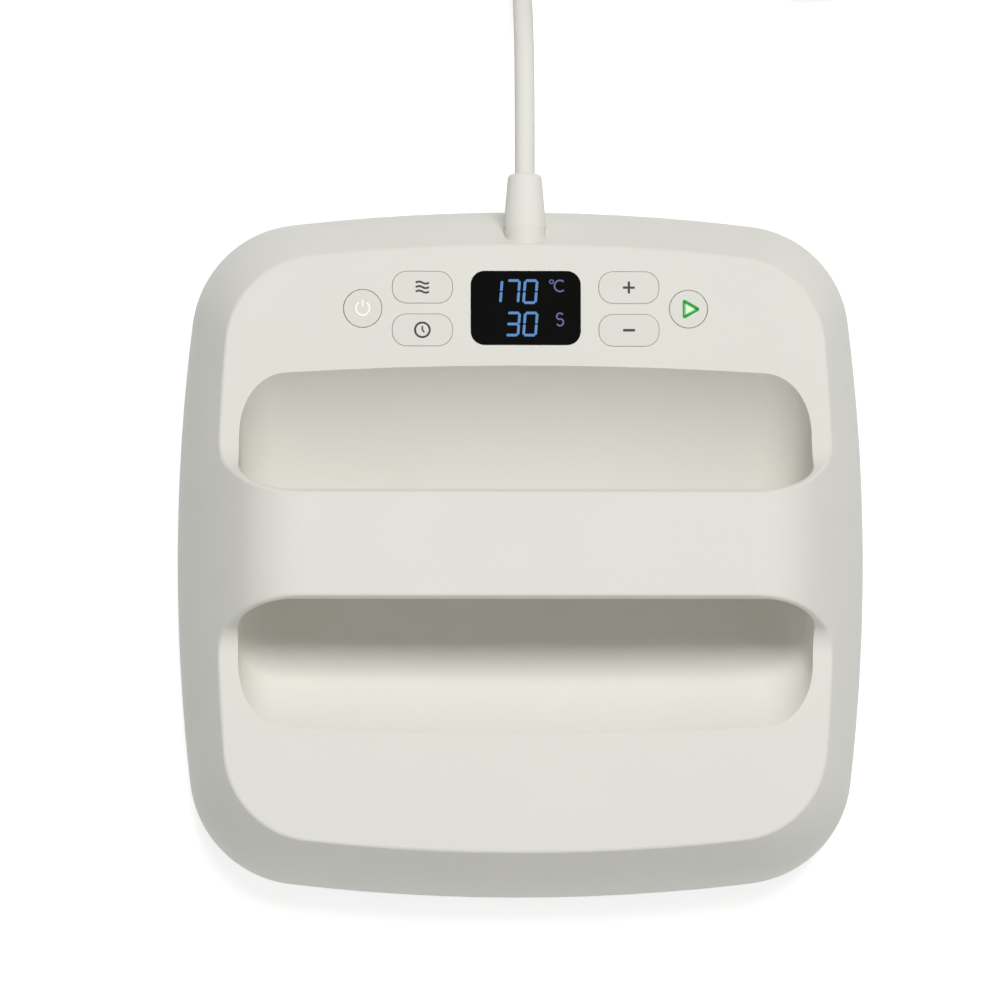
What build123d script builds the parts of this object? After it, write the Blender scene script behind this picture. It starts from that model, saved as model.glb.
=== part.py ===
from build123d import *
from math import atan2, ceil, cos, dist, hypot, pi, radians, sin, sqrt, tan
import os

os.makedirs("parts", exist_ok=True)

# Handheld heat press, 270 mm square and 116 mm high, in millimetres.
# X runs to the right, Y to the rear where the cord leaves, Z up.
# The origin is the middle of the heat plate's working face, which the press stands on.

# Outer body: a domed square moulding that is cut by two panels and a handle
wall = 2.5
body_half = 135.5
skirt_bottom_z = 12.0
widest_z = 14.0
side_draft = 5.0
side_curve_x = 202.0
side_curve_y = 163.0
plan_bow = 760.0
corner_at_skirt = 45.0
corner_at_panel = 35.3
corner_panel_z = 83.0
slice_count = 9
round_slice_count = 5
skirt_edge_round = 1.0

# Handle bar across the middle, with a hand space under it
handle_top_z = 116.0
handle_half_width = 20.0
handle_end_round = 28.0
handle_bevel_height = 2.6
handle_flank_depth = 6.0
handle_seam_z = 105.0
crease_round = 1.3

# Control panel at the rear and bare panel at the front, both falling outward
panel_crown_z = 87.0
panel_fall = 2.5
slope_angle = 65.0
slope_foot_round = 13.0

# Barrel shaped hand recess that runs under the handle
tub_axis_z = 136.0
tub_radius = 86.4
tub_bow = 1760.0
tub_end_inset = 28.3
tub_shift = 1.0
tub_end_round = 18.0
tub_arch_round = 24.3
tub_arch_over = 0.3

# Clearances
fit_gap = 0.15
slide_gap = 0.3
air_gap = 1.5

# Heat plate and what lies on it
plate_inset = 21.0
plate_corner = 25.0
plate_thickness = 9.0
plate_edge_round = 1.6
plate_rim_width = 5.0
plate_pocket_z = 6.0
plate_boss_z = 11.0
plate_boss_radius = 5.0
plate_screw_columns = (33.0, 76.0)
plate_screw_rows = (-60.0, 72.0)
plate_screw_radius = 2.0
plate_screw_bite = 6.0
plate_screw_head_radius = 3.8
plate_screw_head_height = 2.6

# Heating element, a bent tube that is pressed into a groove
element_radius = 3.25
element_z = 8.0
element_bend = 13.0
element_inner_x = 12.0
element_middle_x = 54.0
element_side_margin = 17.5
element_front_margin = 22.5
element_middle_y = 52.0
element_rear_margin = 20.5
element_end_margin = 6.5
element_end_z = 24.0
element_pin_radius = 1.6
element_pin_length = 5.0

# Insulation, heat shield and base frame above the plate
blanket_inset = 7.5
blanket_thickness = 3.8
shield_thickness = 0.8
frame_panel_thickness = 3.0
frame_bottom_z = 9.5
frame_wall = 2.5
frame_channel_z = 12.0
frame_rib_width = 2.0
frame_rib_steps = (-1.5, -0.5, 0.5, 1.5)
frame_screw_inset = 13.5
frame_screw_spread = 60.0
frame_boss_radius = 4.2
frame_screw_radius = 1.9
frame_screw_head_radius = 3.4
frame_screw_head_height = 2.4
housing_boss_top_z = 40.0

# Keys, display and control board, measured along and across the control panel
key_row_y = 89.5
round_key_x = 61.2
round_key_radius = 7.15
pill_key_x = 38.8
pill_key_y = 8.1
pill_key_length = 22.6
pill_key_width = 12.1
pill_key_corner = 5.4
pill_key_gap = 0.13
round_key_gap = 0.2
key_proud = 0.15
key_edge_round = 0.4
key_travel = 0.6
key_flange_width = 1.2
key_flange_thickness = 1.0
key_stem_radius = 2.0
lens_length = 41.2
lens_width = 27.9
lens_corner = 5.2
lens_offset_y = 0.3
lens_thickness = 1.6
lens_ledge = 3.0
board_depth = 11.0
board_thickness = 1.6
board_half_length = 77.0
board_front_y = -19.0
board_rear_y = 14.5
board_screw_x = 73.5
board_screw_rows = (-15.0, 11.0)
board_boss_radius = 3.0
small_screw_radius = 1.3
small_screw_head_radius = 2.6
small_screw_head_height = 1.8
screw_head_round_share = 0.4
screw_socket_share = 0.45
screw_socket_depth_share = 0.6
screw_tip_share = 0.3
switch_size = 6.0
switch_height = 3.5
plunger_radius = 1.7
plunger_height = 0.8
display_length = 33.0
display_width = 17.0
board_notch_width = 24.0
board_notch_y = 9.2
led_size = 2.4
led_height = 1.2
buzzer_radius = 6.0
buzzer_height = 6.5
buzzer_x = 45.0

# Cord entry and strain relief
cord_radius = 3.8
cord_entry_z = 71.5
core_spacing = 2.35
core_radius = 1.06
collar_radius = 7.7
collar_rise = 3.6
collar_inset = 14.0
collar_depth = 8.5
relief_neck_radius = 6.0
relief_flange_radius = 7.0
relief_flange_thickness = 2.0
relief_root_radius = 8.1
relief_tip_radius = 6.5
relief_tip_round = 1.8
relief_length = 20.5
clamp_setback = 5.5
clamp_length = 30.0
clamp_width = 6.0
clamp_thickness = 4.0
clamp_corner = 2.4
clamp_rib_width = 3.6
clamp_gap = 1.0
clamp_screw_x = 10.5
clamp_boss_radius = 3.2
jacket_setback = 9.1

# Free cord and the tie under it
tie_thickness = 0.8
tie_floor_gap = 0.1
cord_arc_share = 0.45

# Coil that puts the spare length away: two layers, wound in and then out again
coil_outer_radius = 55.2
coil_pitch = 8.1
coil_turns = 3
coil_tail = 15.0
tie_width = 12.0
tie_gap = 0.3

# Plug that lies on its back beside the coil
plug_radius = 19.0
plug_height = 26.0
plug_edge_round = 3.0
plug_neck_length = 14.0
plug_neck_sink = 1.9
plug_neck_root_radius = 7.5
plug_neck_tip_radius = 5.6
plug_pin_radius = 2.4
plug_pin_length = 19.0
plug_pin_spread = 9.5
plug_pin_round = 1.4
plug_socket_radius = 2.6
plug_socket_depth = 14.0
plug_clip_width = 7.0
plug_clip_depth = 2.2
plug_clip_thickness = 0.8

# Power electronics on the base frame
power_board_length = 124.0
power_board_width = 44.0
power_board_inset = 56.5
power_board_post = 8.0
power_board_post_radius = 3.2
power_board_screw_inset = 5.0
transformer_length = 38.0
transformer_width = 30.0
transformer_height = 30.0
transformer_core_width = 18.0
winding_length = 23.6
winding_height = 22.8
transformer_x = -34.0
relay_length = 28.0
relay_width = 13.0
relay_height = 22.0
relay_x = 12.0
capacitor_radius = 5.0
capacitor_height = 16.0
capacitor_spacing = 10.8
capacitor_x = 32.0
capacitor_row_shift = 2.0
fuse_length = 20.0
fuse_radius = 2.6
fuse_clip_x = 6.2
fuse_clip_y = 3.2
fuse_clip_height = 6.0
fuse_clip_spread = 8.0
fuse_shift = 5.0
terminal_length = 34.0
terminal_width = 16.0
terminal_height = 15.0
terminal_inset = 39.5
terminal_pole_spacing = 11.0
terminal_screw_radius = 2.4
cutoff_x = 33.0
cutoff_y = 5.0
cutoff_radius = 8.0
cutoff_height = 9.0
cutoff_tab_height = 7.2
cutoff_tab_width = 6.0
sensor_radius = 3.0
sensor_height = 8.0
lead_radius = 1.4
sensor_lead_radius = 0.9
lead_bend = 7.0
ribbon_width = 12.0
ribbon_thickness = 1.0
ribbon_x = 46.5
ribbon_bend = 6.0
bend_share = 0.45
ribbon_plug_height = 5.0

# Fastening of the recess moulding and of the handle underside
well_tab_x = 88.0
well_tab_y = 75.0
well_tab_width = 10.0
well_tab_thickness = 2.5
well_tab_drop = 7.0
well_boss_radius = 3.4
handle_screw_spacing = 62.0
handle_boss_radius = 4.0
handle_screw_seat_z = 97.0
handle_screw_head_radius = 3.2
handle_boss_top_gap = 1.0

# Places that follow from the body's size
tub_half_length = body_half - tub_end_inset
plate_size = 2 * (body_half - plate_inset)
blanket_size = plate_size - 2 * blanket_inset
element_outer_x = plate_size / 2 - element_side_margin
element_front_y = element_front_margin - plate_size / 2
element_rear_y = plate_size / 2 - element_rear_margin
element_end_y = element_end_margin - plate_size / 2
frame_screw_half = body_half - frame_screw_inset
power_board_y = power_board_inset - body_half
capacitor_row_y = power_board_y - capacitor_row_shift
fuse_y = power_board_y - fuse_shift
terminal_y = body_half - terminal_inset
collar_end_y = body_half - collar_inset
collar_start_y = collar_end_y - collar_depth
relief_tip_y = collar_end_y + relief_length
clamp_y = collar_start_y - clamp_setback
jacket_end_y = collar_start_y - jacket_setback

# Points chosen along the free cord's way from the strain relief to the coil
cord_floor_z = tie_thickness + tie_floor_gap + cord_radius
cord_route = [
    (0, relief_tip_y, cord_entry_z),
    (0, body_half + 36.5, cord_entry_z),
    (0, body_half + 64.5, 60),
    (0, body_half + 98.5, 17.5),
    (0, body_half + 124.5, cord_floor_z),
    (0, body_half + 150.5, cord_floor_z),
]

# Heights that follow from the sizes above
element_top_z = element_z + element_radius
blanket_z = element_top_z + fit_gap
shield_z = blanket_z + blanket_thickness + fit_gap
frame_panel_z = shield_z + shield_thickness + fit_gap
frame_top_z = frame_panel_z + frame_panel_thickness
frame_inset = wall + 0.4
frame_opening_half = plate_size / 2 + air_gap
power_board_z = frame_top_z + power_board_post
power_top_z = power_board_z + board_thickness
handle_round_z = handle_top_z - handle_flank_depth
relief_flange_y = collar_start_y - fit_gap
jacket_start_y = relief_flange_y - relief_flange_thickness
key_stem_end = -(board_depth - switch_height - plunger_height - key_travel - slide_gap)
key_flange_top = -(wall + 0.4)


def panel_z(y):
    """Height of either panel's plane at a distance y from the middle."""
    return panel_crown_z - abs(y) * tan(radians(panel_fall))


control_panel = Plane(
    origin=(0, key_row_y, panel_z(key_row_y)),
    x_dir=(1, 0, 0),
    z_dir=(0, sin(radians(panel_fall)), cos(radians(panel_fall))),
)


def side_half(z, curve, inset):
    """Half width of the body at height z, on the arc that domes its side."""
    centre = body_half - curve * cos(radians(side_draft))
    rise = z - widest_z + curve * sin(radians(side_draft))
    return centre + sqrt((curve - inset) ** 2 - rise**2)


handle_round_centre_z = handle_top_z - handle_end_round
handle_round_rise = (
    handle_round_centre_z - widest_z + side_curve_x * sin(radians(side_draft))
)
handle_round_reach = side_curve_x - handle_end_round
handle_round_centre_x = (
    body_half
    - side_curve_x * cos(radians(side_draft))
    + sqrt(handle_round_reach**2 - handle_round_rise**2)
)
handle_round_start = atan2(
    handle_round_rise, sqrt(handle_round_reach**2 - handle_round_rise**2)
)


def end_half(z, inset):
    """Half length of the body at height z, where the top rounds over at both ends."""
    radius = handle_end_round - inset
    start_z = handle_round_centre_z + radius * sin(handle_round_start)
    if z <= start_z:
        return side_half(z, side_curve_x, inset)
    rise = min(z - handle_round_centre_z, radius)
    return handle_round_centre_x + sqrt(radius**2 - rise**2)


def slice_heights(inset):
    """Heights of the slices that the body is lofted through."""
    radius = handle_end_round - inset
    bottom = skirt_bottom_z - (2.0 if inset else 0.0)
    start_z = handle_round_centre_z + radius * sin(handle_round_start)
    heights = [
        bottom + (start_z - bottom) * step / (slice_count - 1)
        for step in range(slice_count)
    ]
    for step in range(1, round_slice_count + 1):
        share = step / round_slice_count
        angle = handle_round_start + (pi / 2 - handle_round_start) * share
        heights.append(handle_round_centre_z + radius * sin(angle))
    return heights


class BowedSquare(BaseSketchObject):
    """Square with gently bowed sides and round corners, all tangent arcs."""

    def __init__(self, half_x, half_y, corner, bow, mode=Mode.ADD):
        centre_x = half_x - bow
        centre_y = half_y - bow
        span = hypot(centre_x, centre_y)
        along = span / 2
        across = sqrt((bow - corner) ** 2 - along**2)
        corner_x = centre_x * (1 - along / span) - across * centre_y / span
        corner_y = centre_y * along / span - across * centre_x / span
        side_angle = atan2(corner_y, corner_x - centre_x)
        end_angle = atan2(corner_y - centre_y, corner_x)
        middle = (side_angle + end_angle) / 2
        side = (centre_x + bow * cos(side_angle), bow * sin(side_angle))
        end = (bow * cos(end_angle), centre_y + bow * sin(end_angle))
        bend = (corner_x + corner * cos(middle), corner_y + corner * sin(middle))
        with BuildSketch() as square:
            with BuildLine():
                for turn_x, turn_y in ((1, 1), (-1, 1), (-1, -1), (1, -1)):
                    ThreePointArc(
                        (side[0] * turn_x, side[1] * turn_y),
                        (bend[0] * turn_x, bend[1] * turn_y),
                        (end[0] * turn_x, end[1] * turn_y),
                    )
                for turn in (1, -1):
                    ThreePointArc(
                        (side[0] * turn, side[1]),
                        (half_x * turn, 0),
                        (side[0] * turn, -side[1]),
                    )
                    ThreePointArc(
                        (end[0], end[1] * turn),
                        (0, half_y * turn),
                        (-end[0], end[1] * turn),
                    )
            make_face()
        super().__init__(obj=square.sketch, mode=mode)


def body_slice(z, inset):
    """Horizontal slice of the body at height z, moved in by inset."""
    share = (z - widest_z) / (corner_panel_z - widest_z)
    corner = corner_at_skirt + (corner_at_panel - corner_at_skirt) * share
    return BowedSquare(
        end_half(z, inset),
        side_half(z, side_curve_y, inset),
        corner - inset,
        plan_bow - inset,
    )


def body_form(inset=0.0):
    """Solid body inside its outer surface, which is moved in by inset."""
    slope = tan(radians(slope_angle))
    fall = tan(radians(panel_fall))
    crown_z = panel_crown_z - inset / cos(radians(panel_fall))
    bevel_y = handle_half_width - handle_bevel_height / slope
    edge_y = bevel_y - inset / sin(radians(slope_angle))
    foot_y = (handle_top_z + slope * edge_y - crown_z) / (slope - fall)
    over = handle_top_z * 0.1
    far_y = body_half * 1.5
    with BuildPart() as form:
        for height in slice_heights(inset):
            with BuildSketch(Plane.XY.offset(height)):
                body_slice(height, inset)
        loft()
        with BuildSketch(Plane.YZ) as section:
            with BuildLine():
                Polyline(
                    (0, -over),
                    (far_y, -over),
                    (far_y, crown_z - fall * far_y),
                    (foot_y, crown_z - fall * foot_y),
                    (edge_y - over / slope, handle_top_z + over),
                    (0, handle_top_z + over),
                )
                mirror(about=Plane.YZ)
            make_face()
            feet = section.vertices().filter_by(lambda v: abs(abs(v.X) - foot_y) < 0.01)
            fillet(feet, slope_foot_round + inset)
        extrude(amount=body_half * 1.2, both=True, mode=Mode.INTERSECT)
    return form.part


def tub_form(grow=0.0):
    """Space of the hand recess, made larger all round by grow."""
    radius = tub_radius + grow
    half = tub_half_length + grow
    end_radius = radius - half**2 / (2 * tub_bow)
    with BuildPart() as form:
        with BuildSketch(Plane.XZ.offset(tub_shift)) as section:
            with BuildLine():
                ThreePointArc(
                    (-half, tub_axis_z - end_radius),
                    (0, tub_axis_z - radius),
                    (half, tub_axis_z - end_radius),
                )
                Polyline(
                    (half, tub_axis_z - end_radius),
                    (half, tub_axis_z),
                    (-half, tub_axis_z),
                    (-half, tub_axis_z - end_radius),
                )
            make_face()
            fillet(section.vertices().group_by(Axis.Y)[0], tub_end_round + grow)
        revolve(axis=Axis((0, -tub_shift, tub_axis_z), (1, 0, 0)))
        with BuildSketch(Plane.XZ) as arch:
            with Locations((0, handle_top_z - handle_bevel_height + tub_arch_over + grow)):
                Rectangle(2 * half, handle_top_z, align=(Align.CENTER, Align.MAX))
            fillet(arch.vertices().group_by(Axis.Y)[-1], tub_arch_round + grow)
        extrude(amount=radius * 1.2, both=True, mode=Mode.INTERSECT)
    return form.part


def bar_form(inset=0.0, half_length=body_half):
    """Bar of the handle with its round belly, moved in by inset."""
    top = handle_top_z - inset
    radius = handle_half_width - inset
    with BuildPart() as form:
        with BuildSketch(Plane.YZ):
            with BuildLine():
                Polyline(
                    (radius, handle_round_z),
                    (radius, top),
                    (-radius, top),
                    (-radius, handle_round_z),
                )
                ThreePointArc(
                    (-radius, handle_round_z),
                    (0, handle_round_z - radius),
                    (radius, handle_round_z),
                )
            make_face()
        extrude(amount=half_length, both=True)
    return form.part


def pan_screw(radius, length, head_radius, head_height):
    """Pan head screw with a hexagon socket, its head resting on the plane z = 0."""
    with BuildPart() as screw:
        Cylinder(radius, length, align=(Align.CENTER, Align.CENTER, Align.MAX))
        with BuildSketch():
            Circle(head_radius)
        extrude(amount=head_height)
        fillet(screw.faces().sort_by(Axis.Z)[-1].edges(), head_height * screw_head_round_share)
        with BuildSketch(Plane.XY.offset(head_height)):
            RegularPolygon(head_radius * screw_socket_share, 6)
        extrude(amount=-head_height * screw_socket_depth_share, mode=Mode.SUBTRACT)
        chamfer(screw.edges().group_by(Axis.Z)[0], radius * screw_tip_share)
    return screw.part


def finish(piece, name):
    """Name a finished piece and write it out."""
    piece.label = name
    export_step(piece, f"parts/{name}.step")


outer_body = body_form()
inner_body = body_form(wall)
tub = tub_form()
tub_shell = tub_form(wall)
handle_bar = bar_form()
handle_bore = bar_form(wall)
handle_length = tub_half_length + wall
board_plane = control_panel.offset(-board_depth)
side_signs = (-1, 1)

frame_screw_places = []
for spread in side_signs:
    for side in side_signs:
        along = spread * frame_screw_spread
        across = side * frame_screw_half
        frame_screw_places.append((along, across))
        frame_screw_places.append((across, along))
plate_screw_places = [
    (side * column, row)
    for side in side_signs
    for column in plate_screw_columns
    for row in plate_screw_rows
]
board_screw_places = [
    (side * board_screw_x, row) for side in side_signs for row in board_screw_rows
]
well_screw_places = [
    (side * well_tab_x, end * well_tab_y) for side in side_signs for end in side_signs
]
clamp_screw_places = [(side * clamp_screw_x, clamp_y) for side in side_signs]
handle_screw_places = [(step * handle_screw_spacing, 0) for step in (-1, 0, 1)]
power_post_places = [
    (
        side * (power_board_length / 2 - power_board_screw_inset),
        power_board_y + end * (power_board_width / 2 - power_board_screw_inset),
    )
    for side in side_signs
    for end in side_signs
]
well_tab_top_z = panel_z(well_tab_y) - well_tab_drop
clamp_top_z = cord_entry_z - clamp_gap
clamp_bottom_z = clamp_top_z - clamp_thickness

round_keys = {"power_button": (-round_key_x, 0), "start_button": (round_key_x, 0)}
pill_keys = {
    "temperature_button": (-pill_key_x, pill_key_y),
    "timer_button": (-pill_key_x, -pill_key_y),
    "plus_button": (pill_key_x, pill_key_y),
    "minus_button": (pill_key_x, -pill_key_y),
}
key_places = list(round_keys.values()) + list(pill_keys.values())

# Hollow inside the body skin, less the flanks that carry the handle's seam
with BuildPart() as cavity:
    add(inner_body)
    add(
        split(
            bar_form(-1.0, handle_length) - handle_bore,
            bisect_by=Plane.XY.offset(handle_seam_z),
            keep=Keep.TOP,
            mode=Mode.PRIVATE,
        ),
        mode=Mode.SUBTRACT,
    )

# What the hand recess takes out of the body on both sides of the handle
with BuildPart() as recess:
    add(tub)
    add(handle_bar, mode=Mode.SUBTRACT)

# Screw bosses that stand on the inside of the skin, cut off within its thickness
with BuildPart() as skin_bosses:
    with BuildSketch(Plane.XY.offset(frame_top_z)):
        with Locations(*frame_screw_places):
            Circle(frame_boss_radius)
        for x, y in frame_screw_places:
            with Locations((x, y)):
                if abs(x) > abs(y):
                    Rectangle(2 * wall + 2 * frame_boss_radius, frame_rib_width)
                else:
                    Rectangle(frame_rib_width, 2 * wall + 2 * frame_boss_radius)
    extrude(amount=housing_boss_top_z - frame_top_z)
    with BuildSketch(board_plane):
        with Locations(*board_screw_places):
            Circle(board_boss_radius)
    extrude(amount=board_depth)
    with BuildSketch(Plane.XY.offset(clamp_top_z + fit_gap)):
        with Locations(*clamp_screw_places):
            Circle(clamp_boss_radius)
    extrude(amount=panel_crown_z - clamp_top_z)
    with BuildSketch(Plane.XY.offset(cord_entry_z + cord_radius)):
        with Locations((0, clamp_y)):
            Rectangle(2 * clamp_screw_x, clamp_rib_width)
    extrude(amount=panel_crown_z - cord_entry_z - cord_radius)
    with BuildSketch(Plane.XY.offset(well_tab_top_z)):
        with Locations(*well_screw_places):
            Circle(well_boss_radius)
    extrude(amount=panel_crown_z - well_tab_top_z)
    add(body_form(wall / 2), mode=Mode.INTERSECT)

# Top housing: skirt, both panels and the handle's top in one moulding
with BuildPart() as top_housing:
    add(outer_body)
    creases = top_housing.edges().filter_by(
        lambda edge: panel_z(body_half) < (edge @ 0.5).Z < handle_top_z - 1
        and edge.geom_type != GeomType.LINE
    )
    fillet(creases, crease_round)
    add(recess.part, mode=Mode.SUBTRACT)
    fillet(top_housing.edges().group_by(Axis.Z)[0], skirt_edge_round)
    add(cavity.part, mode=Mode.SUBTRACT)
    add(skin_bosses.part)
    with BuildSketch(Plane.XY.offset(handle_screw_seat_z + wall + fit_gap)):
        with Locations(*handle_screw_places):
            Circle(handle_boss_radius)
    extrude(amount=handle_top_z - wall / 2 - handle_screw_seat_z - wall - fit_gap)
    with BuildSketch(Plane.XZ.offset(-collar_end_y)):
        with Locations((0, cord_entry_z)):
            SlotCenterToCenter(collar_rise, 2 * collar_radius, rotation=90)
    extrude(amount=collar_end_y - collar_start_y)
    with BuildSketch(Plane.XZ.offset(-collar_end_y)):
        with Locations((0, cord_entry_z)):
            Circle(relief_root_radius + slide_gap)
    extrude(amount=-(relief_tip_y - collar_end_y), mode=Mode.SUBTRACT)
    with BuildSketch(Plane.XZ.offset(-relief_tip_y)):
        with Locations((0, cord_entry_z)):
            Circle(relief_neck_radius + fit_gap)
    extrude(amount=relief_tip_y - collar_start_y + fit_gap, mode=Mode.SUBTRACT)
    with BuildSketch(control_panel.offset(wall)):
        with Locations(*round_keys.values()):
            Circle(round_key_radius + round_key_gap)
        with Locations(*pill_keys.values()):
            RectangleRounded(
                pill_key_length + 2 * pill_key_gap,
                pill_key_width + 2 * pill_key_gap,
                pill_key_corner + pill_key_gap,
            )
        with Locations((0, lens_offset_y)):
            RectangleRounded(
                lens_length - 2 * lens_ledge,
                lens_width - 2 * lens_ledge,
                lens_corner - lens_ledge / 2,
            )
    extrude(amount=-3 * wall, mode=Mode.SUBTRACT)
    with BuildSketch(control_panel.offset(wall)):
        with Locations((0, lens_offset_y)):
            RectangleRounded(
                lens_length + 2 * fit_gap, lens_width + 2 * fit_gap, lens_corner + fit_gap
            )
    extrude(amount=-(wall + lens_thickness), mode=Mode.SUBTRACT)
    with BuildSketch(Plane.XY.offset(frame_top_z)):
        with Locations(*frame_screw_places):
            Circle(frame_screw_radius)
    extrude(amount=housing_boss_top_z - frame_top_z - wall, mode=Mode.SUBTRACT)
    with BuildSketch(board_plane):
        with Locations(*board_screw_places):
            Circle(small_screw_radius)
    extrude(amount=board_depth - 2 * wall, mode=Mode.SUBTRACT)
    with BuildSketch(Plane.XY.offset(clamp_top_z)):
        with Locations(*clamp_screw_places):
            Circle(small_screw_radius)
    extrude(amount=board_depth - 2 * wall, mode=Mode.SUBTRACT)
    with BuildSketch(Plane.XY.offset(well_tab_top_z)):
        with Locations(*well_screw_places):
            Circle(small_screw_radius)
    extrude(amount=well_tab_drop - wall, mode=Mode.SUBTRACT)
    with BuildSketch(Plane.XY.offset(handle_screw_seat_z)):
        with Locations(*handle_screw_places):
            Circle(small_screw_radius)
    extrude(amount=handle_top_z - 2 * wall - handle_screw_seat_z, mode=Mode.SUBTRACT)
finish(top_housing.part, "top_housing")

# Hand well: the bowl that closes the housing under the handle
with BuildPart() as hand_well:
    add(tub_shell)
    for x, y in well_screw_places:
        with BuildSketch(Plane.XY.offset(well_tab_top_z - fit_gap)):
            with Locations((x, y / 2)):
                Rectangle(well_tab_width, abs(y))
            with Locations((x, y)):
                Circle(well_tab_width / 2)
        extrude(amount=-well_tab_thickness)
    add(inner_body, mode=Mode.INTERSECT)
    add(tub, mode=Mode.SUBTRACT)
    add(bar_form(-fit_gap), mode=Mode.SUBTRACT)
    with BuildSketch(Plane.XY.offset(well_tab_top_z)):
        with Locations(*well_screw_places):
            Circle(small_screw_radius + fit_gap)
    extrude(amount=-2 * well_tab_thickness, mode=Mode.SUBTRACT)
finish(hand_well.part, "hand_well")

# Handle underside: the round belly of the grip, screwed up into the housing
with BuildPart() as handle_underside:
    add(bar_form(half_length=handle_length))
    add(handle_bore, mode=Mode.SUBTRACT)
    with BuildSketch(Plane.XY.offset(handle_round_z - handle_half_width + wall / 2)):
        with Locations(*handle_screw_places):
            Circle(handle_boss_radius + wall / 2)
    extrude(amount=handle_screw_seat_z + wall - handle_round_z + handle_half_width - wall / 2)
    split(bisect_by=Plane.XY.offset(handle_seam_z - fit_gap), keep=Keep.BOTTOM)
    add(inner_body, mode=Mode.INTERSECT)
    with BuildSketch(Plane.XY.offset(handle_screw_seat_z)):
        with Locations(*handle_screw_places):
            Circle(handle_screw_head_radius + fit_gap)
    extrude(amount=-handle_half_width, mode=Mode.SUBTRACT)
    with BuildSketch(Plane.XY.offset(handle_screw_seat_z)):
        with Locations(*handle_screw_places):
            Circle(small_screw_radius + fit_gap)
    extrude(amount=handle_half_width, mode=Mode.SUBTRACT)
finish(handle_underside.part, "handle_underside")

# Heat plate: cast aluminium, with a pocket, screw bosses and the element's groove on top
with BuildLine() as element_path:
    FilletPolyline(
        (-element_inner_x, element_end_y, element_end_z),
        (-element_inner_x, element_end_y, element_z),
        (-element_inner_x, element_middle_y, element_z),
        (-element_middle_x, element_middle_y, element_z),
        (-element_middle_x, element_front_y, element_z),
        (-element_outer_x, element_front_y, element_z),
        (-element_outer_x, element_rear_y, element_z),
        (element_outer_x, element_rear_y, element_z),
        (element_outer_x, element_front_y, element_z),
        (element_middle_x, element_front_y, element_z),
        (element_middle_x, element_middle_y, element_z),
        (element_inner_x, element_middle_y, element_z),
        (element_inner_x, element_end_y, element_z),
        (element_inner_x, element_end_y, element_end_z),
        radius=element_bend,
    )
element_ends = [(side * element_inner_x, element_end_y) for side in side_signs]

with BuildPart() as element_groove:
    with BuildSketch(Plane(element_path.line @ 0, z_dir=element_path.line % 0)):
        Circle(element_radius + fit_gap)
    sweep(path=element_path.line)

with BuildPart() as heat_plate:
    with BuildSketch():
        RectangleRounded(plate_size, plate_size, plate_corner)
    extrude(amount=plate_thickness)
    fillet(heat_plate.edges().group_by(Axis.Z)[0], plate_edge_round)
    fillet(heat_plate.edges().group_by(Axis.Z)[-1], plate_edge_round / 2)
    with BuildSketch(Plane.XY.offset(plate_pocket_z)):
        RectangleRounded(
            plate_size - 2 * plate_rim_width,
            plate_size - 2 * plate_rim_width,
            plate_corner - plate_rim_width,
        )
    extrude(amount=plate_thickness, mode=Mode.SUBTRACT)
    with BuildSketch(Plane.XY.offset(plate_pocket_z)):
        with Locations(*plate_screw_places):
            Circle(plate_boss_radius)
    extrude(amount=plate_boss_z - plate_pocket_z)
    with BuildSketch(Plane.XY.offset(plate_boss_z)):
        with Locations(*plate_screw_places):
            Circle(plate_screw_radius + fit_gap)
    extrude(amount=-plate_screw_bite - fit_gap, mode=Mode.SUBTRACT)
    add(element_groove.part, mode=Mode.SUBTRACT)
finish(heat_plate.part, "heat_plate")

with BuildPart() as heating_element:
    with BuildSketch(Plane(element_path.line @ 0, z_dir=element_path.line % 0)):
        Circle(element_radius)
    sweep(path=element_path.line)
    with BuildSketch(Plane.XY.offset(element_end_z)):
        with Locations(*element_ends):
            Circle(element_pin_radius)
    extrude(amount=element_pin_length)
finish(heating_element.part, "heating_element")

with BuildPart() as element_insulators:
    with BuildSketch(Plane.XY.offset(element_end_z)):
        with Locations(*element_ends):
            Circle(element_radius)
            Circle(element_pin_radius, mode=Mode.SUBTRACT)
    extrude(amount=element_pin_length / 2)
finish(element_insulators.part, "element_insulators")


def layer_openings(mode):
    """Openings of the layers above the plate for its sensors and the element's ends."""
    for x, radius in ((cutoff_x, cutoff_radius), (-cutoff_x, sensor_radius)):
        with Locations((x, cutoff_y)):
            Circle(radius + air_gap, mode=mode)
    slot_half = element_radius + air_gap
    for x, y in element_ends:
        with Locations((x, y + element_bend / 2)):
            RectangleRounded(
                2 * slot_half, 2 * slot_half + element_bend, slot_half - fit_gap, mode=mode
            )


def plate_layer(size, corner, bottom_z, thickness):
    """Flat sheet over the plate, open at its spacers, sensors and element ends."""
    with BuildPart() as layer:
        with BuildSketch(Plane.XY.offset(bottom_z)):
            RectangleRounded(size, size, corner)
            with Locations(*plate_screw_places):
                Circle(plate_boss_radius + air_gap / 2, mode=Mode.SUBTRACT)
            layer_openings(Mode.SUBTRACT)
        extrude(amount=thickness)
    return layer.part


layer_corner = plate_corner - (plate_size - blanket_size) / 2
with BuildPart() as insulation_blanket:
    add(plate_layer(blanket_size, layer_corner, blanket_z, blanket_thickness))
finish(insulation_blanket.part, "insulation_blanket")

with BuildPart() as heat_shield:
    add(plate_layer(blanket_size, layer_corner, shield_z, shield_thickness))
finish(heat_shield.part, "heat_shield")

with BuildPart() as plate_spacers:
    with BuildSketch(Plane.XY.offset(plate_boss_z)):
        with Locations(*plate_screw_places):
            Circle(plate_boss_radius)
            Circle(plate_screw_radius + fit_gap, mode=Mode.SUBTRACT)
    extrude(amount=frame_panel_z - plate_boss_z)
finish(plate_spacers.part, "plate_spacers")

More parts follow.
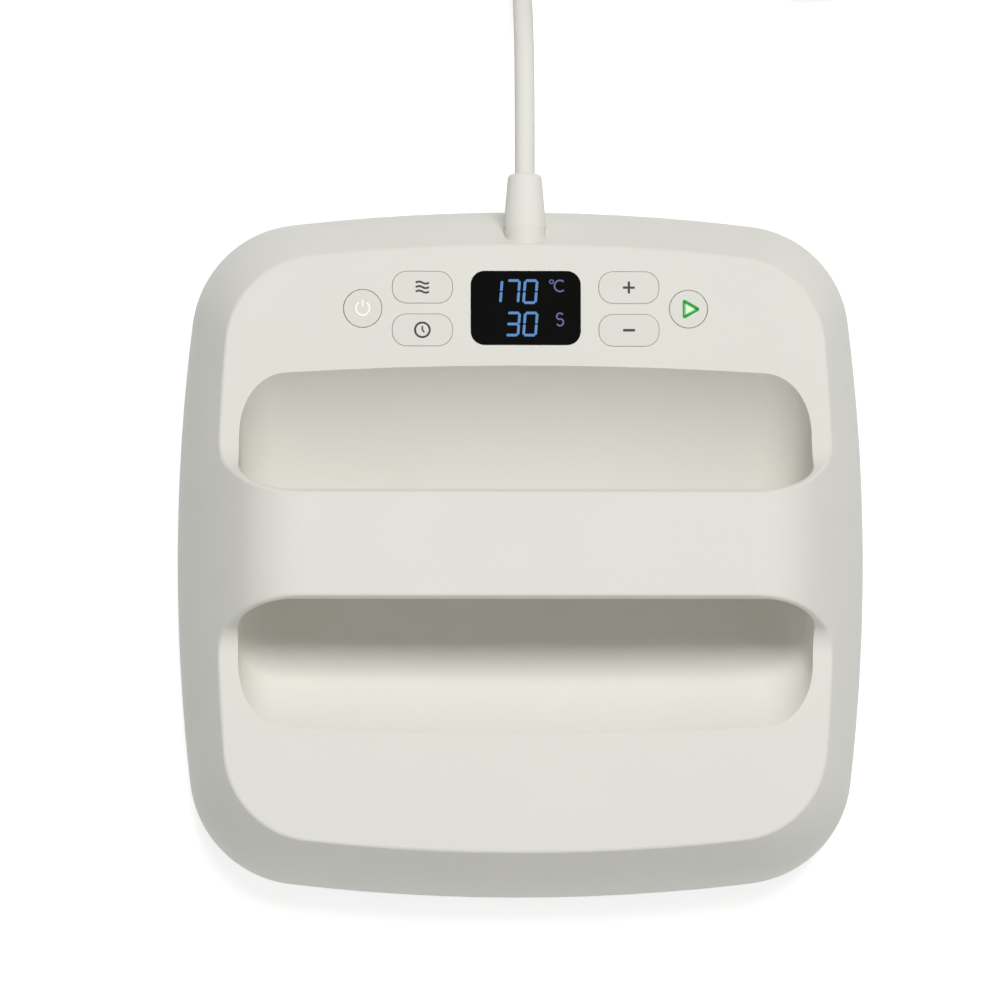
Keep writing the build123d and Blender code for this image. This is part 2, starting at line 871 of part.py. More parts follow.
# Base frame: the dark ring round the plate, its floor and its screw bosses
with BuildPart() as base_frame:
    with BuildSketch(Plane.XY.offset(frame_bottom_z)):
        body_slice(frame_top_z, frame_inset)
    extrude(amount=frame_top_z - frame_bottom_z)
    with BuildSketch(Plane.XY.offset(frame_bottom_z)):
        RectangleRounded(
            2 * frame_opening_half, 2 * frame_opening_half, plate_corner + air_gap
        )
    extrude(amount=frame_panel_z - frame_bottom_z, mode=Mode.SUBTRACT)
    with BuildSketch(Plane.XY.offset(frame_channel_z)):
        body_slice(frame_top_z, frame_inset + frame_wall)
        RectangleRounded(
            2 * (frame_opening_half + frame_wall),
            2 * (frame_opening_half + frame_wall),
            plate_corner + air_gap + frame_wall,
            mode=Mode.SUBTRACT,
        )
        with Locations(*frame_screw_places):
            Circle(frame_boss_radius, mode=Mode.SUBTRACT)
        for step in frame_rib_steps:
            with Locations((step * frame_screw_spread, 0)):
                Rectangle(frame_rib_width, 2 * body_half, mode=Mode.SUBTRACT)
            with Locations((0, step * frame_screw_spread)):
                Rectangle(2 * body_half, frame_rib_width, mode=Mode.SUBTRACT)
    extrude(amount=frame_top_z, mode=Mode.SUBTRACT)
    with BuildSketch(Plane.XY.offset(frame_top_z)):
        with Locations(*power_post_places):
            Circle(power_board_post_radius)
    extrude(amount=power_board_post)
    with BuildSketch(Plane.XY.offset(frame_panel_z)):
        with Locations(*plate_screw_places):
            Circle(plate_screw_radius + fit_gap)
        layer_openings(Mode.ADD)
    extrude(amount=frame_top_z, mode=Mode.SUBTRACT)
    with BuildSketch(Plane.XY.offset(frame_bottom_z)):
        with Locations(*frame_screw_places):
            Circle(frame_screw_radius + fit_gap)
    extrude(amount=frame_top_z, mode=Mode.SUBTRACT)
    with BuildSketch(Plane.XY.offset(frame_bottom_z)):
        with Locations(*frame_screw_places):
            Circle(frame_screw_head_radius + fit_gap)
    extrude(amount=frame_channel_z - frame_bottom_z + fit_gap, mode=Mode.SUBTRACT)
    with BuildSketch(Plane.XY.offset(power_board_z)):
        with Locations(*power_post_places):
            Circle(small_screw_radius)
    extrude(amount=-power_board_post, mode=Mode.SUBTRACT)
finish(base_frame.part, "base_frame")

# Display lens, glued into its seat in the control panel
with BuildPart() as display_lens:
    with BuildSketch(control_panel):
        with Locations((0, lens_offset_y)):
            RectangleRounded(lens_length, lens_width, lens_corner)
    extrude(amount=-lens_thickness)
    chamfer(display_lens.faces().sort_by(Axis.Z)[-1].edges(), key_edge_round / 2)
finish(display_lens.part, "display_lens")


def key_outline(is_round, grow):
    """Outline of a round key or of a pill shaped one, made wider by grow."""
    if is_round:
        return Circle(round_key_radius + grow)
    return RectangleRounded(
        pill_key_length + 2 * grow, pill_key_width + 2 * grow, pill_key_corner + grow
    )


def key_form(is_round, place):
    """Key: a cap flush with the panel, a flange that keeps it in and a stem."""
    with BuildPart() as key:
        with BuildSketch(control_panel.offset(key_proud)):
            with Locations(place):
                key_outline(is_round, 0)
        extrude(amount=key_flange_top - key_proud)
        fillet(key.faces().sort_by(Axis.Z)[-1].edges(), key_edge_round)
        with BuildSketch(control_panel.offset(key_flange_top)):
            with Locations(place):
                key_outline(is_round, key_flange_width)
        extrude(amount=-key_flange_thickness)
        with BuildSketch(control_panel.offset(key_flange_top)):
            with Locations(place):
                Circle(key_stem_radius)
        extrude(amount=key_stem_end - key_flange_top)
    return key.part


for name, place in round_keys.items():
    finish(key_form(True, place), name)
for name, place in pill_keys.items():
    finish(key_form(False, place), name)

# Control board under the panel, with what it carries
with BuildPart() as control_board:
    with BuildSketch(board_plane):
        with Locations((0, (board_rear_y + board_front_y) / 2)):
            Rectangle(2 * board_half_length, board_rear_y - board_front_y)
        with Locations((0, board_rear_y)):
            Rectangle(
                board_notch_width, 2 * (board_rear_y - board_notch_y), mode=Mode.SUBTRACT
            )
        with Locations(*board_screw_places):
            Circle(small_screw_radius + fit_gap, mode=Mode.SUBTRACT)
    extrude(amount=-board_thickness)
finish(control_board.part, "control_board")

with BuildPart() as key_switches:
    with BuildSketch(board_plane):
        with Locations(*key_places):
            Rectangle(switch_size, switch_size)
    extrude(amount=switch_height)
    with BuildSketch(board_plane.offset(switch_height)):
        with Locations(*key_places):
            Circle(plunger_radius)
    extrude(amount=plunger_height)
finish(key_switches.part, "key_switches")

with BuildPart() as display_module:
    with BuildSketch(board_plane):
        with Locations((0, lens_offset_y)):
            Rectangle(display_length, display_width)
    extrude(amount=board_depth - lens_thickness - slide_gap)
    chamfer(display_module.faces().sort_by(Axis.Z)[-1].edges(), key_edge_round)
finish(display_module.part, "display_module")

with BuildPart() as key_lights:
    with BuildSketch(board_plane):
        for x, y in round_keys.values():
            with Locations((x, y + switch_size), (x, y - switch_size)):
                Rectangle(led_size, led_size)
    extrude(amount=led_height)
finish(key_lights.part, "key_lights")

with BuildPart() as buzzer:
    with BuildSketch(board_plane.offset(-board_thickness)):
        with Locations((buzzer_x, 0)):
            Circle(buzzer_radius)
    extrude(amount=-buzzer_height)
    with BuildSketch(board_plane.offset(-board_thickness - buzzer_height)):
        with Locations((buzzer_x, 0)):
            Circle(plunger_radius)
    extrude(amount=buzzer_height / 3, mode=Mode.SUBTRACT)
finish(buzzer.part, "buzzer")


def screw_group(places, plane, screw):
    """Screws at several places, heads resting on a plane and shanks going down into it."""
    with BuildPart() as group:
        with Locations(plane):
            with Locations(*places):
                add(screw)
    return group.part


def flipped(plane):
    """The same plane seen from below, so that a screw goes up through it."""
    return Plane(plane.origin, x_dir=plane.x_dir, z_dir=-plane.z_dir)


def mirrored(places):
    """Places as they are seen on a flipped plane."""
    return [(x, -y) for x, y in places]


small_screw = pan_screw(
    small_screw_radius - fit_gap / 2,
    board_thickness + wall,
    small_screw_head_radius,
    small_screw_head_height,
)
with BuildPart() as control_board_screws:
    add(
        screw_group(
            mirrored(board_screw_places),
            flipped(board_plane.offset(-board_thickness)),
            small_screw,
        )
    )
finish(control_board_screws.part, "control_board_screws")

with BuildPart() as well_screws:
    add(
        screw_group(
            mirrored(well_screw_places),
            flipped(Plane.XY.offset(well_tab_top_z - fit_gap - well_tab_thickness)),
            small_screw,
        )
    )
finish(well_screws.part, "well_screws")

with BuildPart() as handle_screws:
    add(
        screw_group(
            handle_screw_places,
            flipped(Plane.XY.offset(handle_screw_seat_z)),
            pan_screw(
                small_screw_radius - fit_gap / 2,
                handle_flank_depth + 2 * wall,
                small_screw_head_radius,
                small_screw_head_height,
            ),
        )
    )
finish(handle_screws.part, "handle_screws")

with BuildPart() as plate_screws:
    add(
        screw_group(
            plate_screw_places,
            Plane.XY.offset(frame_top_z),
            pan_screw(
                plate_screw_radius,
                frame_top_z - plate_boss_z + plate_screw_bite,
                plate_screw_head_radius,
                plate_screw_head_height,
            ),
        )
    )
finish(plate_screws.part, "plate_screws")

with BuildPart() as base_screws:
    add(
        screw_group(
            mirrored(frame_screw_places),
            flipped(Plane.XY.offset(frame_channel_z + fit_gap)),
            pan_screw(
                frame_screw_radius - fit_gap / 2,
                frame_top_z - frame_channel_z + 3 * frame_boss_radius,
                frame_screw_head_radius,
                frame_screw_head_height,
            ),
        )
    )
finish(base_screws.part, "base_screws")

# Cord entry: strain relief, the end of the cord's jacket, its clamp and its cores
with BuildPart() as strain_relief:
    with BuildSketch(Plane.YZ):
        with BuildLine():
            Polyline(
                (jacket_start_y, cord_entry_z + cord_radius),
                (jacket_start_y, cord_entry_z + relief_flange_radius),
                (relief_flange_y, cord_entry_z + relief_flange_radius),
                (relief_flange_y, cord_entry_z + relief_neck_radius),
                (collar_end_y + fit_gap, cord_entry_z + relief_neck_radius),
                (collar_end_y + fit_gap, cord_entry_z + relief_root_radius),
                (relief_tip_y - relief_tip_round, cord_entry_z + relief_tip_radius),
            )
            TangentArc(
                (relief_tip_y - relief_tip_round, cord_entry_z + relief_tip_radius),
                (relief_tip_y, cord_entry_z + relief_tip_radius - relief_tip_round),
                tangent=(1, 0),
            )
            Polyline(
                (relief_tip_y, cord_entry_z + relief_tip_radius - relief_tip_round),
                (relief_tip_y, cord_entry_z),
                (jacket_start_y, cord_entry_z),
                (jacket_start_y, cord_entry_z + cord_radius),
            )
        make_face()
    revolve(axis=Axis((0, 0, cord_entry_z), (0, 1, 0)))
finish(strain_relief.part, "strain_relief")

with BuildPart() as cord_jacket:
    with BuildSketch(Plane.XZ.offset(-jacket_start_y)):
        with Locations((0, cord_entry_z)):
            Circle(cord_radius)
    extrude(amount=jacket_start_y - jacket_end_y)
finish(cord_jacket.part, "cord_jacket")

with BuildPart() as cord_clamp:
    with BuildSketch(Plane.XY.offset(clamp_bottom_z)):
        with Locations((0, clamp_y)):
            RectangleRounded(clamp_length, clamp_width, clamp_corner)
        with Locations(*clamp_screw_places):
            Circle(small_screw_radius + fit_gap, mode=Mode.SUBTRACT)
    extrude(amount=clamp_thickness)
    with BuildSketch(Plane.XZ.offset(-clamp_y - clamp_width)):
        with Locations((0, cord_entry_z)):
            Circle(cord_radius + fit_gap / 3)
    extrude(amount=2 * clamp_width, mode=Mode.SUBTRACT)
finish(cord_clamp.part, "cord_clamp")

with BuildPart() as clamp_screws:
    add(
        screw_group(
            mirrored(clamp_screw_places),
            flipped(Plane.XY.offset(clamp_bottom_z)),
            pan_screw(
                small_screw_radius - fit_gap / 2,
                clamp_thickness + 2 * wall,
                small_screw_head_radius,
                small_screw_head_height,
            ),
        )
    )
finish(clamp_screws.part, "clamp_screws")


def lead(points, radius, bend):
    """Wire along straight runs that are joined by round bends."""
    with BuildPart() as wire:
        with BuildLine() as path:
            FilletPolyline(*points, radius=bend)
        with BuildSketch(Plane(path.line @ 0, z_dir=path.line % 0)):
            Circle(radius)
        sweep(path=path.line)
    return wire.part


# Terminal block and the wires between the cord, the boards and the plate
terminal_top_z = frame_top_z + terminal_height
poles = (-1, 0, 1)
with BuildPart() as terminal_block:
    with BuildSketch(Plane.XY.offset(frame_top_z)):
        with Locations((0, terminal_y)):
            RectangleRounded(terminal_length, terminal_width, wall / 2)
    extrude(amount=terminal_height)
    chamfer(terminal_block.edges().group_by(Axis.Z)[-1], key_edge_round)
    with BuildSketch(Plane.XY.offset(terminal_top_z)):
        for pole in poles:
            with Locations((pole * terminal_pole_spacing, terminal_y - terminal_width / 4)):
                Circle(terminal_screw_radius + fit_gap)
            with Locations((pole * terminal_pole_spacing, terminal_y + terminal_width / 4)):
                Circle(lead_radius + fit_gap)
    extrude(amount=-terminal_height / 2, mode=Mode.SUBTRACT)
    with BuildSketch(Plane.XZ.offset(-terminal_y + terminal_width / 2)):
        for pole in poles:
            with Locations(
                (pole * terminal_pole_spacing, frame_top_z + terminal_height / 4)
            ):
                Circle(lead_radius + fit_gap)
    extrude(amount=-terminal_width / 3, mode=Mode.SUBTRACT)
finish(terminal_block.part, "terminal_block")

with BuildPart() as terminal_screws:
    with BuildSketch(Plane.XY.offset(terminal_top_z - terminal_height / 2)):
        for pole in poles:
            with Locations((pole * terminal_pole_spacing, terminal_y - terminal_width / 4)):
                Circle(terminal_screw_radius)
    extrude(amount=terminal_height * 0.4)
    with BuildSketch(Plane.XY.offset(terminal_top_z - terminal_height / 10)):
        for pole in poles:
            with Locations((pole * terminal_pole_spacing, terminal_y - terminal_width / 4)):
                Rectangle(2 * terminal_screw_radius, key_flange_thickness / 2)
    extrude(amount=-key_flange_thickness, mode=Mode.SUBTRACT)
finish(terminal_screws.part, "terminal_screws")

core_bend = lead_radius * 2
core_turn_y = jacket_end_y - core_bend - fit_gap
for name, pole in (("live_core", -1), ("earth_core", 0), ("neutral_core", 1)):
    core_x = pole * core_spacing
    pole_x = pole * terminal_pole_spacing
    pole_y = terminal_y + terminal_width / 4
    core_points = [
        (core_x, jacket_end_y, cord_entry_z),
        (core_x, core_turn_y, cord_entry_z),
        (core_x, core_turn_y, cord_entry_z - 4 * core_bend),
        (pole_x, pole_y, terminal_top_z + 4 * core_bend),
        (pole_x, pole_y, terminal_top_z - terminal_height / 2),
    ]
    finish(lead(core_points, core_radius, core_bend), name)

# Power board and what stands on it
with BuildPart() as power_board:
    with BuildSketch(Plane.XY.offset(power_board_z)):
        with Locations((0, power_board_y)):
            Rectangle(power_board_length, power_board_width)
        with Locations(*power_post_places):
            Circle(small_screw_radius + fit_gap, mode=Mode.SUBTRACT)
    extrude(amount=board_thickness)
finish(power_board.part, "power_board")

with BuildPart() as power_board_screws:
    add(screw_group(power_post_places, Plane.XY.offset(power_top_z), small_screw))
finish(power_board_screws.part, "power_board_screws")

with BuildPart() as transformer:
    with Locations((transformer_x, power_board_y, power_top_z)):
        Box(
            transformer_length,
            transformer_core_width,
            transformer_height,
            align=(Align.CENTER, Align.CENTER, Align.MIN),
        )
        Box(
            winding_length,
            transformer_width,
            winding_height,
            align=(Align.CENTER, Align.CENTER, Align.MIN),
        )
    chamfer(transformer.edges().group_by(Axis.Z)[-1], key_edge_round * 2)
finish(transformer.part, "transformer")

with BuildPart() as relay:
    with Locations((relay_x, power_board_y, power_top_z)):
        Box(
            relay_length,
            relay_width,
            relay_height,
            align=(Align.CENTER, Align.CENTER, Align.MIN),
        )
    fillet(relay.edges().filter_by(Axis.Z), wall / 2)
    chamfer(relay.edges().group_by(Axis.Z)[-1], key_edge_round)
finish(relay.part, "relay")

with BuildPart() as capacitors:
    with BuildSketch(Plane.XY.offset(power_top_z)):
        for step in (-1, 0, 1):
            with Locations((capacitor_x, capacitor_row_y + step * capacitor_spacing)):
                Circle(capacitor_radius)
    extrude(amount=capacitor_height)
    fillet(capacitors.edges().group_by(Axis.Z)[-1], capacitor_radius / 5)
finish(capacitors.part, "capacitors")

with BuildPart() as fuse:
    with Locations((ribbon_x, fuse_y, power_top_z + fuse_radius + fit_gap)):
        Cylinder(fuse_radius, fuse_length, rotation=(90, 0, 0))
    for side in side_signs:
        with Locations((ribbon_x, fuse_y + side * fuse_clip_spread, power_top_z)):
            Box(
                fuse_clip_x,
                fuse_clip_y,
                fuse_clip_height,
                align=(Align.CENTER, Align.CENTER, Align.MIN),
            )
finish(fuse.part, "fuse")

# Thermal cutoff and temperature sensor on the plate
with BuildPart() as thermal_cutoff:
    with BuildSketch(Plane.XY.offset(plate_pocket_z)):
        with Locations((cutoff_x, cutoff_y)):
            Circle(cutoff_radius)
    extrude(amount=cutoff_height)
    fillet(thermal_cutoff.edges().group_by(Axis.Z)[-1], key_edge_round)
    with BuildSketch(Plane.XY.offset(plate_pocket_z + cutoff_height)):
        for side in side_signs:
            with Locations((cutoff_x + side * cutoff_radius / 2, cutoff_y)):
                Rectangle(shield_thickness, cutoff_tab_width)
    extrude(amount=cutoff_tab_height)
finish(thermal_cutoff.part, "thermal_cutoff")

with BuildPart() as temperature_sensor:
    with BuildSketch(Plane.XY.offset(plate_pocket_z)):
        with Locations((-cutoff_x, cutoff_y)):
            Circle(sensor_radius)
    extrude(amount=sensor_height)
    fillet(temperature_sensor.edges().group_by(Axis.Z)[-1], key_edge_round)
finish(temperature_sensor.part, "temperature_sensor")

board_edge_y = power_board_y + power_board_width / 2
lead_over_z = power_top_z + 2 * lead_bend
lead_land_y = board_edge_y - lead_bend * 0.6
lead_rise_y = board_edge_y + lead_bend
loose_bend = lead_bend * bend_share

with BuildPart() as sensor_lead:
    sensor_run_z = frame_top_z + 3 * lead_radius
    add(
        lead(
            [
                (-cutoff_x, cutoff_y, plate_pocket_z + sensor_height),
                (-cutoff_x, cutoff_y, sensor_run_z),
                (-cutoff_x, lead_rise_y, sensor_run_z),
                (-cutoff_x, lead_rise_y, lead_over_z),
                (-cutoff_x, lead_land_y, lead_over_z),
                (-cutoff_x, lead_land_y, power_top_z),
            ],
            sensor_lead_radius,
            loose_bend,
        )
    )
finish(sensor_lead.part, "sensor_lead")

with BuildPart() as cutoff_leads:
    for side in side_signs:
        lead_x = cutoff_x + side * cutoff_radius / 2
        tab_top_z = plate_pocket_z + cutoff_height + cutoff_tab_height
        add(
            lead(
                [
                    (lead_x, cutoff_y, tab_top_z),
                    (lead_x, cutoff_y, tab_top_z + lead_bend),
                    (lead_x, lead_rise_y, tab_top_z + lead_bend),
                    (lead_x, lead_rise_y, lead_over_z + lead_bend),
                    (lead_x, lead_land_y, lead_over_z + lead_bend),
                    (lead_x, lead_land_y, power_top_z),
                ],
                lead_radius,
                loose_bend,
            )
        )
finish(cutoff_leads.part, "cutoff_leads")

with BuildPart() as board_leads:
    for pole in poles:
        pole_x = pole * terminal_pole_spacing
        terminal_front_y = terminal_y - terminal_width / 2
        socket_z = frame_top_z + terminal_height / 4
        add(
            lead(
                [
                    (pole_x, terminal_front_y + terminal_width / 3, socket_z),
                    (pole_x, lead_rise_y, socket_z),
                    (pole_x, lead_rise_y, lead_over_z),
                    (pole_x, lead_land_y, lead_over_z),
                    (pole_x, lead_land_y, power_top_z),
                ],
                lead_radius,
                loose_bend,
            )
        )
finish(board_leads.part, "board_leads")

with BuildPart() as element_leads:
    pin_top_z = element_end_z + element_pin_length
    for x, y in element_ends:
        landing_y = power_board_y - power_board_width / 2 + 2 * lead_radius
        add(
            lead(
                [
                    (x, y, pin_top_z),
                    (x, y, pin_top_z + 2 * lead_bend),
                    (x, landing_y, pin_top_z + 2 * lead_bend),
                    (x, landing_y, power_top_z),
                ],
                lead_radius,
                loose_bend,
            )
        )
finish(element_leads.part, "element_leads")

# Ribbon cable from the power board, under the well, to the control board
ribbon_floor_z = frame_top_z + ribbon_thickness
ribbon_over_z = power_top_z + ribbon_plug_height + 1.5 * ribbon_bend
ribbon_start_y = board_edge_y - ribbon_bend
ribbon_rear_y = (
    key_row_y + (board_front_y + ribbon_plug_height) * cos(radians(panel_fall))
)
ribbon_end_z = (
    board_plane.offset(-board_thickness).origin.Z
    - (ribbon_rear_y - key_row_y) * sin(radians(panel_fall))
    - ribbon_plug_height
)
with BuildPart() as ribbon_cable:
    with BuildLine() as ribbon_path:
        FilletPolyline(
            (ribbon_x, ribbon_start_y, power_top_z + ribbon_plug_height),
            (ribbon_x, ribbon_start_y, ribbon_over_z),
            (ribbon_x, board_edge_y + ribbon_bend, ribbon_over_z),
            (ribbon_x, board_edge_y + ribbon_bend, ribbon_floor_z),
            (ribbon_x, ribbon_rear_y, ribbon_floor_z),
            (ribbon_x, ribbon_rear_y, ribbon_end_z),
            radius=ribbon_bend * bend_share,
        )
    with BuildSketch(Plane(ribbon_path.line @ 0, x_dir=(1, 0, 0), z_dir=(0, 0, 1))):
        Rectangle(ribbon_width, ribbon_thickness)
    sweep(path=ribbon_path.line)
finish(ribbon_cable.part, "ribbon_cable")

with BuildPart() as ribbon_plugs:
    with BuildSketch(Plane.XY.offset(power_top_z)):
        with Locations((ribbon_x, ribbon_start_y)):
            Rectangle(ribbon_width + wall, ribbon_plug_height)
    extrude(amount=ribbon_plug_height)
    with BuildSketch(board_plane.offset(-board_thickness)):
        with Locations((ribbon_x, board_front_y + ribbon_plug_height)):
            Rectangle(ribbon_width + wall, ribbon_plug_height)
    extrude(amount=-ribbon_plug_height + fit_gap)
finish(ribbon_plugs.part, "ribbon_plugs")

# Free cord, from the strain relief down to the floor behind the press
cord_bends = []
for before, corner, after in zip(cord_route, cord_route[1:], cord_route[2:]):
    heading_in = atan2(corner[2] - before[2], corner[1] - before[1])
    heading_out = atan2(after[2] - corner[2], after[1] - corner[1])
    shorter_run = min(dist(before, corner), dist(corner, after))
    half_turn = abs(heading_out - heading_in) / 2
    cord_bends.append(cord_arc_share * shorter_run / tan(half_turn))
print("bend radii of the cord", [round(bend, 1) for bend in cord_bends])


def cord_tube(path, start, heading):
    """Round cord along a path that starts at a point with a heading."""
    with BuildPart() as tube:
        with BuildSketch(Plane(start, z_dir=heading)):
            Circle(cord_radius)
        sweep(path=path)
    share = tube.part.volume / (pi * cord_radius**2 * path.length)
    print("cord", round(path.length), "mm long, tube over section and length", round(share, 4))
    return tube.part


with BuildLine() as cord_path:
    FilletPolyline(*cord_route, radius=cord_bends)
finish(cord_tube(cord_path.wire(), cord_route[0], (0, 1, 0)), "power_cord")

# Coil: half turns that step inward on the floor and outward again in a second layer
coil_low_z = cord_floor_z
coil_high_z = cord_floor_z + coil_pitch
coil_start = cord_route[-1]
coil_centre_y = coil_start[1] + 2 * cord_radius


def coil_left(turn):
    """Left end of a half turn that lies a number of cords inside the outermost one."""
    return turn * coil_pitch


def coil_right(turn):
    """Right end of a half turn that lies a number of cords inside the outermost one."""
    return 2 * coil_outer_radius - turn * coil_pitch


coil_stations = []
for turn in range(coil_turns):
    coil_stations.append((coil_left(turn), coil_low_z))
    coil_stations.append((coil_right(turn), coil_low_z))
for turn in range(coil_turns, 0, -1):
    coil_stations.append((coil_left(turn), coil_high_z))
    coil_stations.append((coil_right(turn - 2), coil_high_z))
plug_x = coil_right(-1)
neck_tip_y = coil_centre_y - coil_tail

with BuildLine() as coil_path:
    Line(coil_start, (0, coil_centre_y, coil_low_z))
    coil_side = 1
    for (x, z), (next_x, next_z) in zip(coil_stations, coil_stations[1:]):
        bulge = coil_side * hypot(next_x - x, next_z - z) / 2
        ThreePointArc(
            (x, coil_centre_y, z),
            ((x + next_x) / 2, coil_centre_y + bulge, (z + next_z) / 2),
            (next_x, coil_centre_y, next_z),
        )
        coil_side = -coil_side
    Line((plug_x, coil_centre_y, coil_high_z), (plug_x, neck_tip_y, coil_high_z))
coil_wire = coil_path.wire()
finish(cord_tube(coil_wire, coil_start, (0, 1, 0)), "cord_coil")

sample_count = ceil(coil_wire.length)
samples = [tuple(coil_wire @ (step / sample_count)) for step in range(sample_count + 1)]
apart = ceil(pi * cord_radius * 4)
least = min(
    dist(samples[first], samples[second])
    for first in range(sample_count + 1)
    for second in range(first + apart, sample_count + 1)
)
print("least gap between turns of the coil", round(least - 2 * cord_radius, 3))
print("free cord", round(cord_path.wire().length + coil_wire.length), "mm")

# Tie round the six strands on the coil's far side
tie_reach = (tie_width + coil_pitch) / 2
inner_radius = coil_outer_radius - (coil_turns - 1) * coil_pitch
tie_near_y = coil_centre_y + sqrt(inner_radius**2 - tie_reach**2) - cord_radius - tie_gap
tie_far_y = coil_centre_y + coil_outer_radius + cord_radius + tie_gap
tie_bottom_z = tie_thickness
tie_top_z = coil_high_z + cord_radius + tie_gap
with BuildPart() as cord_tie:
    tie_x = (coil_left(coil_turns) + coil_right(coil_turns - 2)) / 2 - coil_pitch / 2
    with BuildSketch(Plane.YZ.offset(tie_x)):
        with Locations(((tie_near_y + tie_far_y) / 2, (tie_bottom_z + tie_top_z) / 2)):
            RectangleRounded(
                tie_far_y - tie_near_y + 2 * tie_thickness,
                tie_top_z - tie_bottom_z + 2 * tie_thickness,
                cord_radius + tie_thickness,
            )
            RectangleRounded(
                tie_far_y - tie_near_y,
                tie_top_z - tie_bottom_z,
                cord_radius,
                mode=Mode.SUBTRACT,
            )
    extrude(amount=tie_width / 2, both=True)
finish(cord_tie.part, "cord_tie")

# Plug: an angled mains plug that lies on its back with its pins up
plug_y = neck_tip_y - plug_neck_length - plug_radius + plug_neck_sink
plug_middle = (plug_x, plug_y)
plug_pin_places = [(plug_x + side * plug_pin_spread, plug_y) for side in side_signs]
plug_clip_places = [(plug_x, plug_y + side * plug_radius) for side in side_signs]
clip_height = plug_height - coil_high_z - plug_neck_root_radius
with BuildPart() as plug_body:
    with BuildSketch():
        with Locations(plug_middle):
            Circle(plug_radius)
    extrude(amount=plug_height)
    fillet(plug_body.edges().filter_by(GeomType.CIRCLE), plug_edge_round)
    with BuildSketch(Plane.XZ.offset(-plug_y - plug_radius + plug_neck_sink)):
        with Locations((plug_x, coil_high_z)):
            Circle(plug_neck_root_radius)
    with BuildSketch(Plane.XZ.offset(-neck_tip_y)):
        with Locations((plug_x, coil_high_z)):
            Circle(plug_neck_tip_radius)
    loft()
    with BuildSketch(Plane.XY.offset(plug_height)):
        with Locations(*plug_clip_places):
            Rectangle(plug_clip_width + 2 * fit_gap, 2 * plug_clip_depth)
    extrude(amount=-clip_height, mode=Mode.SUBTRACT)
    with BuildSketch(Plane.XY.offset(plug_height)):
        with Locations((plug_x, plug_y - plug_pin_spread)):
            Circle(plug_socket_radius)
    extrude(amount=-plug_socket_depth, mode=Mode.SUBTRACT)
finish(plug_body.part, "plug_body")

with BuildPart() as plug_pins:
    with BuildSketch(Plane.XY.offset(plug_height)):
        with Locations(*plug_pin_places):
            Circle(plug_pin_radius)
    extrude(amount=plug_pin_length)
    fillet(plug_pins.edges().group_by(Axis.Z)[-1], plug_pin_round)
finish(plug_pins.part, "plug_pins")

with BuildPart() as plug_earth_clips:
    clip_seat = plug_radius - plug_clip_depth + plug_clip_thickness / 2
    with BuildSketch(Plane.XY.offset(plug_height - clip_height)):
        for side in side_signs:
            with Locations((plug_x, plug_y + side * clip_seat)):
                Rectangle(plug_clip_width, plug_clip_thickness)
    extrude(amount=clip_height - key_edge_round)
finish(plug_earth_clips.part, "plug_earth_clips")
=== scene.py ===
from math import cos, pi, radians, sin, tan

import bpy
from bpy.props import FloatProperty, FloatVectorProperty, PointerProperty, StringProperty
from mathutils import Matrix, Vector


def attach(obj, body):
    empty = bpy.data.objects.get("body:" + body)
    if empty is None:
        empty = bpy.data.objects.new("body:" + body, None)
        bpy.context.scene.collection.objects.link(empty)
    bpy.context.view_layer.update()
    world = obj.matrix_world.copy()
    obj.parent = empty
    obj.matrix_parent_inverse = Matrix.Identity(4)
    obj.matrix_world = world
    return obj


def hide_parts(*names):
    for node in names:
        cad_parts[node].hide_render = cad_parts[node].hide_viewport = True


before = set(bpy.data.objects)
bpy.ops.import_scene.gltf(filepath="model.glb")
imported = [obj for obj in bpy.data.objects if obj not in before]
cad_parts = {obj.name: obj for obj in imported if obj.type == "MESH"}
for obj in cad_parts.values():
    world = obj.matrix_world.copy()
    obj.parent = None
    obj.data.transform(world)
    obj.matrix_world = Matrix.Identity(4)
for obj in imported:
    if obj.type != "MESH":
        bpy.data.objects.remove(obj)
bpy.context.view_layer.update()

bl_info = {
    "name": "Handheld heat press",
    "version": (1, 0, 0),
    "blender": (4, 5, 0),
    "location": "3D View > Sidebar > Heat press",
    "description": "Finishes, key symbols, display, cord and studio of a handheld heat press",
    "category": "Object",
}

MM = 0.001
BODY = "press"

# Control panel: its crown, its fall and the places on it, as in the solids
PANEL_CROWN = 87.0 * MM
PANEL_FALL = radians(2.5)
KEY_ROW_Y = 89.5 * MM
KEY_PROUD = 0.15 * MM
ROUND_KEY_X = 61.2 * MM
PILL_KEY_X = 38.8 * MM
PILL_KEY_Y = 8.1 * MM
LENS_MIDDLE_Y = 0.3 * MM
PRINT_LIFT = 0.02 * MM

panel = (
    Matrix.Translation((0, KEY_ROW_Y, PANEL_CROWN - KEY_ROW_Y * tan(PANEL_FALL)))
    @ Matrix.Rotation(-PANEL_FALL, 4, "X")
)

# Signs on the keys, in millimetres from the middle of the cap, with angles in degrees
POWER_LINE = 0.8
POWER_RING_RADIUS = 2.55
POWER_RING_ENDS = (125, 415)
POWER_BAR = [(0, 0.7), (0, 3.3)]
START_RADIUS = 4.7
START_CORNER = 1.5
START_FRAME = 1.25
START_SHIFT = 0.15
WAVE_HALF = 2.5
WAVE_HEIGHT = 0.38
WAVE_STEPS = 12
WAVE_RISES = (-1.7, 0, 1.7)
CLOCK_RADIUS = 2.75
CLOCK_ENDS = (0, 352.5)
CLOCK_HANDS = [(0, 1.5), (0, 0), (0.75, -0.95)]
PLUS_HALF = 2.25

# Lines of single signs, as shares of the common line
CLOCK_HANDS_SHARE = 0.8
PLUS_SHARE = 1.15
MINUS_SHARE = 1.3
DEGREE_SHARE = 0.7

